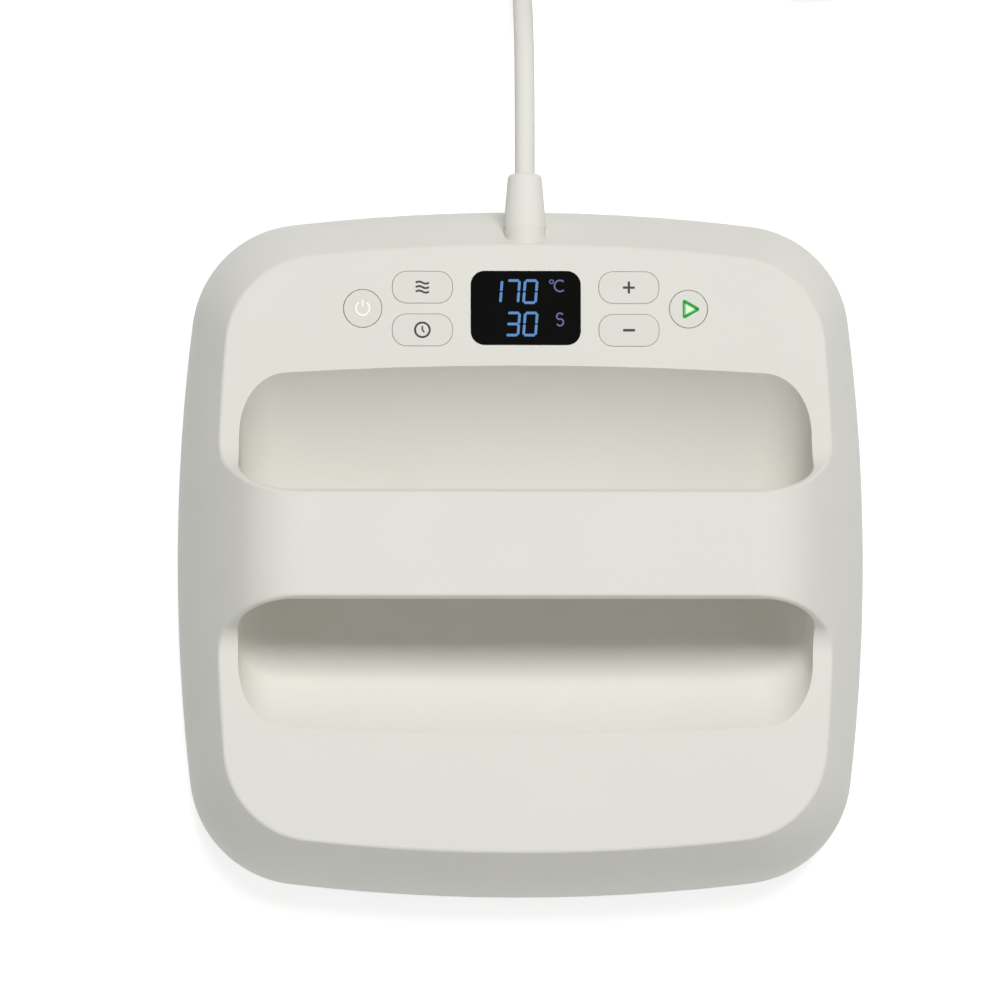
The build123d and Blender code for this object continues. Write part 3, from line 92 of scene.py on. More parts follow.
# Digits in the window, in millimetres from its middle
DIGITS_RIGHT = 4.5
DIGITS_SLANT = tan(radians(4.5))
NUMBERS = (("temperature_digits", "170", 6.2), ("time_digits", "30", -6.1))
SEGMENT_GAP_SHARE = 0.35
SEGMENT_CORNER_SHARE = 0.3

# Unit signs in the window: radius, first angle, last angle, points and middle of each arc
UNIT_LINE = 0.58
CELSIUS_ARC = (2.1, 48, 312, 32, (12.9, 8.4))
DEGREE_ARC = (0.7, 0, 345, 16, (9.7, 10.0))
SECONDS_UPPER_ARC = (1.2, 30, 255, 16, (12.85, -3.15))
SECONDS_LOWER_ARC = (1.3, 75, -150, 16, (12.85, -5.4))

# Height of a printed line, as a share of its width
PRINT_FLATNESS = 0.03

# Studio: floor, aim of the light and grey levels of the surround from front to rear
FLOOR_SIDE = 8
FLOOR_DROP = 0.1 * MM
FLOOR_LIFT = 0.75
LIGHT_TARGET = (0, 0, 0.05)
CAMERA_REACH = 20
WHITE = (1, 1, 1, 1)
FRONT_LEVEL = 1.0
REAR_LEVEL = 0.01
LEVELS_BETWEEN = ((0.08, 0.85), (0.2, 0.42), (0.5, 0.42), (0.65, 0.15))

# Cord: the route's points from the strain relief to the floor, as in the solids
CORD_RADIUS = 3.8 * MM
CORD_ROUTE = [
    (0, 142, 71.5),
    (0, 172, 71.5),
    (0, 200, 60),
    (0, 234, 17.5),
    (0, 260, 4.7),
    (0, 286, 4.7),
]
COIL_OUTER_RADIUS = 55.2
COIL_PITCH = 8.1
COIL_TURNS = 3
COIL_TAIL = 15.0
POINTS_PER_HALF_TURN = 8


def linear(hex_colour):
    """Linear colour of an sRGB hex value."""
    channels = [int(hex_colour[place:place + 2], 16) / 255 for place in (1, 3, 5)]
    return [
        value / 12.92 if value <= 0.04045 else ((value + 0.055) / 1.055) ** 2.4
        for value in channels
    ] + [1.0]


def add_node(tree, kind, settings=(), links=()):
    """Add a node with its settings, given by property or socket, and its incoming links."""
    node = tree.nodes.new(kind)
    for name, value in dict(settings).items():
        if isinstance(name, str) and hasattr(node, name):
            setattr(node, name, value)
        else:
            node.inputs[name].default_value = value
    for name, source in dict(links).items():
        tree.links.new(source, node.inputs[name])
    return node


def new_finish(name, colour, roughness, ior=1.5, metallic=0.0):
    """Material with a plain shader, and the tree and shader to work on."""
    material = bpy.data.materials.new(name)
    material.use_nodes = True
    tree = material.node_tree
    shader = tree.nodes["Principled BSDF"]
    shader.inputs["Base Color"].default_value = linear(colour)
    shader.inputs["Roughness"].default_value = roughness
    shader.inputs["Metallic"].default_value = metallic
    if not metallic:
        shader.inputs["IOR"].default_value = ior
    return material, tree, shader


def cloud(tree, size, detail=3.0):
    """Soft noise of a real size in the piece's own space."""
    place = add_node(tree, "ShaderNodeTexCoord")
    return add_node(
        tree,
        "ShaderNodeTexNoise",
        {"Scale": 1 / size, "Detail": detail},
        {"Vector": place.outputs["Object"]},
    ).outputs["Fac"]


def spread(tree, source, start, low, high):
    """Carry a source that runs from the start to 1 over to a range of values."""
    return add_node(
        tree,
        "ShaderNodeMapRange",
        {"From Min": start, "From Max": 1.0, "To Min": low, "To Max": high},
        {"Value": source},
    ).outputs["Result"]


def times(tree, first, second):
    """Product of two sources."""
    return add_node(
        tree, "ShaderNodeMath", {"operation": "MULTIPLY"}, {0: first, 1: second}
    ).outputs["Value"]


def grain(tree, shader, size, height, detail=2.0):
    """Raised grain of a real size and height on a finish."""
    bump = add_node(
        tree,
        "ShaderNodeBump",
        {"Distance": height, "Strength": 1.0},
        {"Height": cloud(tree, size, detail)},
    )
    tree.links.new(bump.outputs["Normal"], shader.inputs["Normal"])


def mottle(tree, shader, size, low, high, detail=3.0):
    """Let the colour wander between two colours, in patches of a real size."""
    ramp = add_node(tree, "ShaderNodeValToRGB", {}, {"Fac": cloud(tree, size, detail)})
    ramp.color_ramp.elements[0].position = 0.3
    ramp.color_ramp.elements[1].position = 0.7
    ramp.color_ramp.elements[0].color = linear(low)
    ramp.color_ramp.elements[1].color = linear(high)
    tree.links.new(ramp.outputs["Color"], shader.inputs["Base Color"])


def uneven_gloss(tree, shader, size, low, high, detail=3.0):
    """Let the roughness wander between two values, in patches of a real size."""
    gloss = spread(tree, cloud(tree, size, detail), 0.0, low, high)
    tree.links.new(gloss, shader.inputs["Roughness"])


def moulded_abs():
    """Warm white ABS from a spark-eroded mould: a matt skin with a soft, broad sheen.

    Its real grain, about 0.1 mm, is too fine to show, so it is drawn at 0.45 mm.
    """
    material, tree, shader = new_finish("Moulded ABS, warm white", "#E5E4DC", 0.46, 1.53)
    grain(tree, shader, 0.45 * MM, 0.006 * MM)
    mottle(tree, shader, 60 * MM, "#E4E3DB", "#E6E5DD")
    uneven_gloss(tree, shader, 9 * MM, 0.43, 0.5)
    return material


def key_abs():
    """The same ABS with a finer grain: the caps look like the panel, only a shade darker.

    Its real grain, about 0.05 mm, is too fine to show, so it is drawn at 0.3 mm.
    """
    material, tree, shader = new_finish("Moulded ABS, key caps", "#E3E2DA", 0.46, 1.53)
    grain(tree, shader, 0.3 * MM, 0.003 * MM)
    uneven_gloss(tree, shader, 5 * MM, 0.43, 0.5)
    return material


def glass_filled_nylon():
    """Dark glass-filled nylon: a dull skin with a coarse grain and pale fibre flecks.

    The real flecks, about 0.3 mm, are too fine to show, so they are drawn at 1.2 mm.
    """
    material, tree, shader = new_finish("Glass-filled nylon, dark", "#2B2B2D", 0.6, 1.53)
    grain(tree, shader, 0.8 * MM, 0.02 * MM)
    mottle(tree, shader, 1.2 * MM, "#262628", "#323234", 6.0)
    return material


def non_stick_coating():
    """Sprayed non-stick coating on cast aluminium: dark, satin, with fine pale specks.

    The real specks, about 0.2 mm, are too fine to show, so they are drawn at 0.9 mm.
    """
    material, tree, shader = new_finish("Non-stick coating on aluminium", "#38373A", 0.42, 1.35)
    grain(tree, shader, 0.5 * MM, 0.004 * MM)
    mottle(tree, shader, 0.9 * MM, "#2F2E31", "#47464A", 8.0)
    uneven_gloss(tree, shader, 14 * MM, 0.38, 0.47)
    return material


def black_acrylic():
    """Black acrylic window: deep and smooth, its sheen held low, hazed a little by handling."""
    material, tree, shader = new_finish("Black acrylic window", "#080807", 0.16, 1.49)
    shader.inputs["Specular IOR Level"].default_value = 0.2
    uneven_gloss(tree, shader, 6 * MM, 0.1, 0.17)
    return material


def soft_pvc(name, colour):
    """Soft extruded PVC: slightly waxy, with a fine orange peel 0.6 mm across."""
    material, tree, shader = new_finish(name, colour, 0.5, 1.53)
    grain(tree, shader, 0.6 * MM, 0.005 * MM)
    uneven_gloss(tree, shader, 20 * MM, 0.46, 0.55)
    return material


def lit_print(name, colour, strength, unlit=None):
    """Translucent print lit from behind: its own light over a matt skin.

    With an unlit colour it lies behind the window: near black, and without a sheen.
    """
    material, tree, shader = new_finish(name, unlit or colour, 0.5)
    if unlit:
        shader.inputs["Specular IOR Level"].default_value = 0.03
    shader.inputs["Emission Color"].default_value = linear(colour)
    shader.inputs["Emission Strength"].default_value = strength
    uneven_gloss(tree, shader, 2 * MM, 0.45, 0.55)
    return material


def pad_print(colour):
    """Pad printing ink: a flat dark grey film, slightly uneven where it took."""
    material, tree, shader = new_finish("Pad printing ink, dark grey", colour, 0.55, 1.5)
    mottle(tree, shader, 0.5 * MM, "#4C4C48", "#585853")
    return material


def plated_metal(name, colour, roughness):
    """Plated or plain metal: fine marks 0.4 mm across break up its gloss a little."""
    material, tree, shader = new_finish(name, colour, roughness, metallic=1.0)
    grain(tree, shader, 0.4 * MM, 0.002 * MM, 5.0)
    uneven_gloss(tree, shader, 1.5 * MM, roughness * 0.85, roughness * 1.25, 5.0)
    return material


def plain_moulding(name, colour, roughness=0.5):
    """Small unpainted moulding or coated part: even colour, faint grain."""
    material, tree, shader = new_finish(name, colour, roughness, 1.5)
    grain(tree, shader, 0.5 * MM, 0.004 * MM)
    uneven_gloss(tree, shader, 4 * MM, roughness * 0.9, roughness * 1.1)
    return material


def fibre_cloth(name, colour, thread):
    """Woven or felted fibre: waves across each other, very matt.

    Single threads are too fine to show, so the waves are drawn about six threads apart.
    """
    material, tree, shader = new_finish(name, colour, 0.9, 1.5)
    place = add_node(tree, "ShaderNodeTexCoord")
    waves = [
        add_node(
            tree,
            "ShaderNodeTexWave",
            {"Scale": 1 / thread / 20, "Distortion": 2.0, "bands_direction": way},
            {"Vector": place.outputs["Object"]},
        )
        for way in ("X", "Y")
    ]
    both = add_node(
        tree,
        "ShaderNodeMath",
        {"operation": "MAXIMUM"},
        {0: waves[0].outputs["Fac"], 1: waves[1].outputs["Fac"]},
    )
    bump = add_node(
        tree, "ShaderNodeBump", {"Distance": thread / 4}, {"Height": both.outputs["Value"]}
    )
    tree.links.new(bump.outputs["Normal"], shader.inputs["Normal"])
    return material


def circuit_laminate():
    """Green solder mask over copper on glass laminate: glossy, paler over copper fields.

    The fields are 30 mm by 15 mm, half and a quarter of the pattern's 60 mm.
    """
    material, tree, shader = new_finish("Solder mask, green", "#1B5A33", 0.3, 1.5)
    place = add_node(tree, "ShaderNodeTexCoord")
    cells = add_node(
        tree,
        "ShaderNodeTexBrick",
        {
            "Scale": 1 / (60 * MM),
            "Color1": linear("#1B5A33"),
            "Color2": linear("#226B3C"),
            "Mortar": linear("#164A2A"),
        },
        {"Vector": place.outputs["Object"]},
    )
    tree.links.new(cells.outputs["Color"], shader.inputs["Base Color"])
    return material


def deselect_all():
    """Leave nothing selected and no mode open."""
    if bpy.context.object and bpy.context.object.mode != "OBJECT":
        bpy.ops.object.mode_set(mode="OBJECT")
    bpy.ops.object.select_all(action="DESELECT")


def paint(obj, material):
    """Give an object one material."""
    obj.data.materials.clear()
    obj.data.materials.append(material)


def paint_nodes(names, material):
    """Give several CAD nodes one material."""
    for name in names:
        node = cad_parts[name]
        for place in node.material_slots:
            place.material = material
        if not node.material_slots:
            node.data.materials.append(material)


def place_piece(obj, name, matrix, material, body):
    """Apply a piece's place to its mesh, and give it its name, finish and body."""
    obj.data.transform(matrix @ obj.matrix_world)
    obj.matrix_world = Matrix.Identity(4)
    obj.name = name
    obj.data.name = name
    paint(obj, material)
    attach(obj, body)


def arc(radius, start, end, count=24, middle=(0.0, 0.0)):
    """Points along an arc, in degrees counted from +X."""
    angles = [radians(start + (end - start) * step / (count - 1)) for step in range(count)]
    return [(middle[0] + radius * cos(a), middle[1] + radius * sin(a)) for a in angles]


def stroke(points, width, closed=False):
    """Flat printed line of a width in millimetres along points in millimetres."""
    deselect_all()
    bpy.ops.curve.primitive_bezier_curve_add()
    line = bpy.context.object.data
    line.splines.clear()
    spline = line.splines.new("POLY")
    spline.points.add(len(points) - 1)
    for point, (x, y) in zip(spline.points, points):
        point.co = (x * MM, y * MM, 0, 1)
    spline.use_cyclic_u = closed
    line.dimensions = "3D"
    line.bevel_depth = width * MM / 2
    line.bevel_resolution = 2
    line.use_fill_caps = True
    bpy.ops.object.convert(target="MESH")
    bpy.ops.object.mode_set(mode="EDIT")
    bpy.ops.mesh.select_all(action="SELECT")
    bpy.ops.transform.resize(value=(1, 1, PRINT_FLATNESS))
    bpy.ops.object.mode_set(mode="OBJECT")
    return bpy.context.object


def join(objects):
    """Join several mesh objects into the first."""
    deselect_all()
    for obj in objects:
        obj.select_set(True)
    bpy.context.view_layer.objects.active = objects[0]
    bpy.ops.object.join()
    return bpy.context.object


def segment(x, y, length, width, upright):
    """One lit segment: a bar with its corners cut, lying or standing."""
    deselect_all()
    bpy.ops.mesh.primitive_plane_add(size=1)
    bar = bpy.context.object
    bar.data.transform(Matrix.Diagonal((length * MM, width * MM, 1, 1)))
    bpy.ops.object.mode_set(mode="EDIT")
    bpy.ops.mesh.select_all(action="SELECT")
    corner = width * SEGMENT_CORNER_SHARE * MM
    bpy.ops.mesh.bevel(offset=corner, segments=1, affect="VERTICES")
    bpy.ops.object.mode_set(mode="OBJECT")
    turn = Matrix.Rotation(radians(90) if upright else 0, 4, "Z")
    bar.data.transform(Matrix.Translation((x * MM, y * MM, 0)) @ turn)
    return bar


def triangle_pane(radius, corner, line):
    """Triangle that points right, with round corners, and its frame as a piece of its own."""
    deselect_all()
    bpy.ops.mesh.primitive_circle_add(vertices=3, radius=radius * MM, fill_type="NGON")
    pane = bpy.context.object
    pane.data.transform(Matrix.Rotation(radians(-90), 4, "Z"))
    bpy.ops.object.mode_set(mode="EDIT")
    bpy.ops.mesh.select_all(action="SELECT")
    bpy.ops.mesh.bevel(offset=corner * MM, segments=6, affect="VERTICES")
    bpy.ops.mesh.select_all(action="SELECT")
    bpy.ops.mesh.inset(thickness=line * MM)
    bpy.ops.mesh.separate(type="SELECTED")
    bpy.ops.object.mode_set(mode="OBJECT")
    inner = [obj for obj in bpy.context.selected_objects if obj != pane][0]
    return pane, inner


# Segments of a digit: place across, place up and whether they stand, on a unit grid
SEGMENTS = {
    "top": (0, 1, False),
    "middle": (0, 0, False),
    "bottom": (0, -1, False),
    "upper_left": (-1, 0.5, True),
    "upper_right": (1, 0.5, True),
    "lower_left": (-1, -0.5, True),
    "lower_right": (1, -0.5, True),
}
DIGITS = {
    "0": ("top", "bottom", "upper_left", "upper_right", "lower_left", "lower_right"),
    "1": ("upper_right", "lower_right"),
    "3": ("top", "middle", "bottom", "upper_right", "lower_right"),
    "7": ("top", "upper_right", "lower_right"),
}


def number(text, right, middle_y, width, height, line, pitch, slant):
    """Number in lit segments, set flush right and slanted."""
    half_width = (width - line) / 2
    half_height = (height - line) / 2
    shear = Matrix.Identity(4)
    shear[0][1] = slant
    bars = []
    for back, digit in enumerate(reversed(text)):
        middle_x = right - width / 2 - back * pitch
        place = Matrix.Translation((middle_x * MM, middle_y * MM, 0)) @ shear
        for name in DIGITS[digit]:
            across, up, upright = SEGMENTS[name]
            length = (half_height if upright else 2 * half_width) - SEGMENT_GAP_SHARE * line
            bar = segment(across * half_width, up * half_height, length, line, upright)
            bar.data.transform(place)
            bars.append(bar)
    return join(bars)


class HeatPressFinish(bpy.types.PropertyGroup):
    """Colours of the printed and lit parts and of the cord, as sRGB hex values."""

    ink: StringProperty(name="Ink", description="Printed key symbols", default="#52524E")
    digits: StringProperty(name="Digits", description="Lit digits", default="#6290C8")
    units: StringProperty(name="Units", description="Dim lit unit signs", default="#6B70A0")
    start: StringProperty(name="Start", description="Lit start triangle", default="#2FA03C")
    start_glow: StringProperty(
        name="Start glow", description="Light inside the start triangle", default="#D3F2CB"
    )
    power: StringProperty(name="Power", description="Lit power sign", default="#F4F3EC")
    cord: StringProperty(name="Cord", description="Cord and plug", default="#E9E8E0")


class HeatPressSizes(bpy.types.PropertyGroup):
    """Sizes of the printed signs and the digits."""

    line: FloatProperty(
        name="Sign line",
        description="Line width of the signs",
        default=0.78 * MM,
        min=0.2 * MM,
        max=2 * MM,
        precision=5,
        unit="LENGTH",
    )
    digit_height: FloatProperty(
        name="Digit height",
        description="Height of the digits",
        default=9.4 * MM,
        min=3 * MM,
        max=12 * MM,
        precision=5,
        unit="LENGTH",
    )
    digit_width: FloatProperty(
        name="Digit width",
        description="Width of the digits",
        default=5.5 * MM,
        min=2 * MM,
        max=8 * MM,
        precision=5,
        unit="LENGTH",
    )
    digit_line: FloatProperty(
        name="Digit line",
        description="Width of a lit segment",
        default=1.0 * MM,
        min=0.3 * MM,
        max=2 * MM,
        precision=5,
        unit="LENGTH",
    )
    digit_pitch: FloatProperty(
        name="Digit pitch",
        description="From digit to digit",
        default=6.6 * MM,
        min=3 * MM,
        max=12 * MM,
        precision=5,
        unit="LENGTH",
    )


class HeatPressStudio(bpy.types.PropertyGroup):
    """Camera and lights."""

    lens: FloatProperty(
        name="Lens", description="Focal length", default=115.0, min=20, max=300, unit="CAMERA"
    )
    camera: FloatVectorProperty(
        name="Camera",
        description="Place of the camera",
        default=(-0.0345, -0.045, 1.277),
        subtype="TRANSLATION",
        unit="LENGTH",
    )
    aim: FloatVectorProperty(
        name="Aim",
        description="Slope of the view to the right and to the rear",
        default=(0.0208, 0.0524),
        size=2,
    )
    key_place: FloatVectorProperty(
        name="Key light",
        description="Place of the rear soft box",
        default=(0.4, 1.7, 3.95),
        subtype="TRANSLATION",
        unit="LENGTH",
    )
    key_side: FloatProperty(
        name="Key side",
        description="Side of the rear soft box",
        default=1.3,
        min=0.1,
        unit="LENGTH",
    )
    key_power: FloatProperty(
        name="Key power",
        description="Power of the rear soft box",
        default=144.0,
        min=0,
        unit="POWER",
    )
    fill: FloatProperty(
        name="Fill", description="Strength of the surrounding light", default=0.45, min=0
    )


class HEATPRESS_OT_housing(bpy.types.Operator):
    """Housing, hand well and handle underside"""

    bl_idname = "heatpress.housing"
    bl_label = "Housing"

    def execute(self, context):
        paint_nodes(["top_housing", "hand_well", "handle_underside"], moulded_abs())
        return {"FINISHED"}


class HEATPRESS_OT_keys(bpy.types.Operator):
    """Key caps and the printed or lit signs on them"""

    bl_idname = "heatpress.keys"
    bl_label = "Keys"

    def execute(self, context):
        finish = context.scene.heat_press_finish
        line = context.scene.heat_press_sizes.line / MM
        ink = pad_print(finish.ink)
        lit_power = lit_print("Backlit print, white", finish.power, strength=0.16)
        lit_start = lit_print("Backlit print, green", finish.start, strength=0.1)
        glow = lit_print("Backlit cap, pale green", finish.start_glow, strength=0.2)
        keys = [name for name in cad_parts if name.endswith("_button")]
        paint_nodes(keys, key_abs())
        top = KEY_PROUD + PRINT_LIFT

        def on_key(piece, name, x, y, material, key):
            matrix = panel @ Matrix.Translation((x, y, top))
            place_piece(piece, name, matrix, material, key)

        power = join([
            stroke(arc(POWER_RING_RADIUS, *POWER_RING_ENDS, 40), POWER_LINE),
            stroke(POWER_BAR, POWER_LINE),
        ])
        on_key(power, "power_sign", -ROUND_KEY_X, 0, lit_power, "power_key")

        start, pane = triangle_pane(START_RADIUS, START_CORNER, START_FRAME)
        start_x = ROUND_KEY_X + START_SHIFT * MM
        on_key(start, "start_sign", start_x, 0, lit_start, "start_key")
        on_key(pane, "start_glow", start_x, 0, glow, "start_key")

        wave = [
            (WAVE_HALF * step / WAVE_STEPS, WAVE_HEIGHT * sin(pi * step / WAVE_STEPS))
            for step in range(-WAVE_STEPS, WAVE_STEPS + 1)
        ]
        waves = [stroke([(x, rise - y) for x, y in wave], line) for rise in WAVE_RISES]
        on_key(join(waves), "temperature_sign", -PILL_KEY_X, PILL_KEY_Y, ink, "temperature_key")

        clock = join([
            stroke(arc(CLOCK_RADIUS, *CLOCK_ENDS, 48), line, closed=True),
            stroke(CLOCK_HANDS, line * CLOCK_HANDS_SHARE),
        ])
        on_key(clock, "timer_sign", -PILL_KEY_X, -PILL_KEY_Y, ink, "timer_key")

        bar = [(-PLUS_HALF, 0), (PLUS_HALF, 0)]
        upright = [(0, -PLUS_HALF), (0, PLUS_HALF)]
        plus = join([
            stroke(bar, line * PLUS_SHARE),
            stroke(upright, line * PLUS_SHARE),
        ])
        on_key(plus, "plus_sign", PILL_KEY_X, PILL_KEY_Y, ink, "plus_key")
        minus = stroke(bar, line * MINUS_SHARE)
        on_key(minus, "minus_sign", PILL_KEY_X, -PILL_KEY_Y, ink, "minus_key")
        return {"FINISHED"}


class HEATPRESS_OT_display(bpy.types.Operator):
    """Window and lit numbers of the display"""

    bl_idname = "heatpress.display"
    bl_label = "Display"

    def execute(self, context):
        sizes = context.scene.heat_press_sizes
        finish = context.scene.heat_press_finish
        lit = lit_print("Lit segments, blue", finish.digits, strength=1.0, unlit="#0C0E12")
        dim = lit_print("Lit signs, dim blue", finish.units, strength=1.0, unlit="#0C0E12")
        paint_nodes(["display_lens"], black_acrylic())
        matrix = panel @ Matrix.Translation((0, LENS_MIDDLE_Y, PRINT_LIFT))
        for name, text, middle_y in NUMBERS:
            digits = number(
                text,
                DIGITS_RIGHT,
                middle_y,
                sizes.digit_width / MM,
                sizes.digit_height / MM,
                sizes.digit_line / MM,
                sizes.digit_pitch / MM,
                DIGITS_SLANT,
            )
            place_piece(digits, name, matrix, lit, BODY)
        celsius = join([
            stroke(arc(*CELSIUS_ARC), UNIT_LINE),
            stroke(arc(*DEGREE_ARC), UNIT_LINE * DEGREE_SHARE, closed=True),
        ])
        place_piece(celsius, "celsius_sign", matrix, dim, BODY)
        seconds = stroke(arc(*SECONDS_UPPER_ARC) + arc(*SECONDS_LOWER_ARC), UNIT_LINE)
        place_piece(seconds, "seconds_sign", matrix, dim, BODY)
        return {"FINISHED"}


def coil_points():
    """Control points of the coil: half turns inward on the floor, then outward above it."""
    low = CORD_ROUTE[-1][2]
    high = low + COIL_PITCH
    middle_y = CORD_ROUTE[-1][1] + 2 * CORD_RADIUS / MM
    right = 2 * COIL_OUTER_RADIUS
    stations = []
    for turn in range(COIL_TURNS):
        stations.append((turn * COIL_PITCH, low))
        stations.append((right - turn * COIL_PITCH, low))
    for turn in range(COIL_TURNS, 0, -1):
        stations.append((turn * COIL_PITCH, high))
        stations.append((right - (turn - 2) * COIL_PITCH, high))
    step_angle = pi / POINTS_PER_HALF_TURN
    points = []
    side = 1
    for (x, z), (next_x, next_z) in zip(stations, stations[1:]):
        middle_x = (x + next_x) / 2
        radius = (next_x - x) / 2 / cos(step_angle / 2)
        for step in range(POINTS_PER_HALF_TURN):
            angle = (step + 0.5) * step_angle
            share = min(max((1 - cos(angle) / cos(step_angle / 2)) / 2, 0), 1)
            points.append((
                middle_x - radius * cos(angle),
                middle_y + side * abs(radius) * sin(angle),
                z + (next_z - z) * share,
            ))
        side = -side
    points.append((right + COIL_PITCH, middle_y - COIL_TAIL / 2, high))
    points.append((right + COIL_PITCH, middle_y - COIL_TAIL, high))
    return points


class HEATPRESS_OT_cord(bpy.types.Operator):
    """Cord with its coil, strain relief, tie and plug"""

    bl_idname = "heatpress.cord"
    bl_label = "Cord"

    def execute(self, context):
        pvc = soft_pvc("Cord PVC, warm white", context.scene.heat_press_finish.cord)
        deselect_all()
        bpy.ops.curve.primitive_nurbs_path_add()
        cord = context.object
        line = cord.data
        line.splines.clear()
        points = CORD_ROUTE + coil_points()
        spline = line.splines.new("NURBS")
        spline.points.add(len(points) - 1)
        for point, place in zip(spline.points, points):
            point.co = (*[value * MM for value in place], 1)
        spline.order_u = 3
        spline.use_endpoint_u = True
        line.resolution_u = 6
        line.dimensions = "3D"
        line.bevel_depth = CORD_RADIUS
        line.bevel_resolution = 6
        line.use_fill_caps = True
        cord.name = "mains_cord"
        line.name = "mains_cord"
        paint(cord, pvc)
        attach(cord, BODY)
        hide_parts("power_cord", "cord_coil")
        paint_nodes(["strain_relief", "cord_jacket", "plug_body"], pvc)
        # Napped tape swallows the light
        paint_nodes(["cord_tie"], fibre_cloth("Hook and loop tape, black", "#1B1B1C", 0.6 * MM))
        # Bright plating, and bare brass beside it
        paint_nodes(["plug_pins"], plated_metal("Nickel plated brass", "#C9C5BC", 0.22))
        paint_nodes(["plug_earth_clips"], plated_metal("Brass strip", "#C9A555", 0.3))
        return {"FINISHED"}


class HEATPRESS_OT_base(bpy.types.Operator):
    """Base frame, heat plate and what is fixed to them"""

    bl_idname = "heatpress.base"
    bl_label = "Base"

    def execute(self, context):
        paint_nodes(["base_frame"], glass_filled_nylon())
        paint_nodes(["heat_plate"], non_stick_coating())
        # Barrel-plated steel has a softly blurred shine
        screws = [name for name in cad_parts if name.endswith("_screws")]
        paint_nodes(screws + ["plate_spacers"], plated_metal("Zinc plated steel", "#B9BABC", 0.35))
        # Drawn tube that the heat has turned straw brown
        paint_nodes(
            ["heating_element", "temperature_sensor"],
            plated_metal("Stainless tube, heat tinted", "#A79C8C", 0.38),
        )
        # Rolled sheet has a soft mirror
        paint_nodes(["heat_shield"], plated_metal("Aluminium sheet", "#C9CBCD", 0.3))
        # Glazed and fired, so glossier than the plastics
        paint_nodes(
            ["element_insulators", "thermal_cutoff"],
            plain_moulding("Glazed steatite", "#E9E6DC", 0.25),
        )
        # Loose felt of pale wool, dead matt
        paint_nodes(["insulation_blanket"], fibre_cloth("Ceramic fibre felt", "#E3E1D8", 1.5 * MM))
        return {"FINISHED"}


class HEATPRESS_OT_electronics(bpy.types.Operator):
    """Boards, wiring and components inside the housing"""

    bl_idname = "heatpress.electronics"
    bl_label = "Electronics"

    def execute(self, context):
        paint_nodes(["control_board", "power_board"], circuit_laminate())
        # Filled plastic, dull and black
        black = plain_moulding("Moulded PBT, black", "#191919")
        paint_nodes(["key_switches", "buzzer", "cord_clamp", "ribbon_plugs"], black)
        # Smooth dark filter that hides the unlit segments
        paint_nodes(["display_module"], plain_moulding("Display filter, smoked", "#15161A", 0.2))
        # Clouded resin that spreads the light
        paint_nodes(["key_lights"], plain_moulding("Diode resin, milky", "#E4E6DC", 0.3))
        # Undyed, with a waxy skin
        paint_nodes(["terminal_block"], plain_moulding("Polyamide, natural", "#E6E3D6", 0.45))
        # Tape wound tight, smooth and yellow
        paint_nodes(["transformer"], plain_moulding("Polyester tape, yellow", "#D3AF3A", 0.35))
        # Shrunk or moulded on, with a half gloss
        sleeved = plain_moulding("Component sleeve, blue", "#24468F", 0.35)
        paint_nodes(["relay", "capacitors"], sleeved)
        # Bright spring strip
        paint_nodes(["fuse"], plated_metal("Nickel plated fuse clip", "#C4C2BC", 0.25))
        # Extruded side by side and left matt
        paint_nodes(["ribbon_cable"], plain_moulding("Ribbon PVC, grey", "#9A9A9B", 0.5))
        wires = {
            "live_core": "#5B3620",
            "neutral_core": "#2B57B0",
            "earth_core": "#5FA62F",
            "board_leads": "#A5231C",
        }
        for name, colour in wires.items():
            paint_nodes([name], soft_pvc("Wire PVC, " + name.replace("_", " "), colour))
        # Close braid, pale and matt
        sleeve = fibre_cloth("Glass fibre sleeve", "#E6E3D8", 0.5 * MM)
        paint_nodes(["element_leads", "cutoff_leads", "sensor_lead"], sleeve)
        return {"FINISHED"}


def area_light(name, location, size, power):
    """Soft box that looks at the press."""
    light = bpy.data.lights.new(name, "AREA")
    light.shape = "SQUARE"
    light.size = size
    light.energy = power
    lamp = bpy.data.objects.new(name, light)
    bpy.context.collection.objects.link(lamp)
    lamp.location = location
    way = Vector(LIGHT_TARGET) - Vector(location)
    lamp.rotation_euler = way.to_track_quat("-Z", "Y").to_euler()
    return lamp


def seen_directly(tree):
    """Value that is 1 where a surface is seen straight, in a mirror or through glass."""
    path = add_node(tree, "ShaderNodeLightPath")
    first = add_node(
        tree,
        "ShaderNodeMath",
        {"operation": "MAXIMUM"},
        {0: path.outputs["Is Camera Ray"], 1: path.outputs["Is Glossy Ray"]},
    )
    return add_node(
        tree,
        "ShaderNodeMath",
        {"operation": "MAXIMUM"},
        {0: first.outputs["Value"], 1: path.outputs["Is Transmission Ray"]},
    ).outputs["Value"]


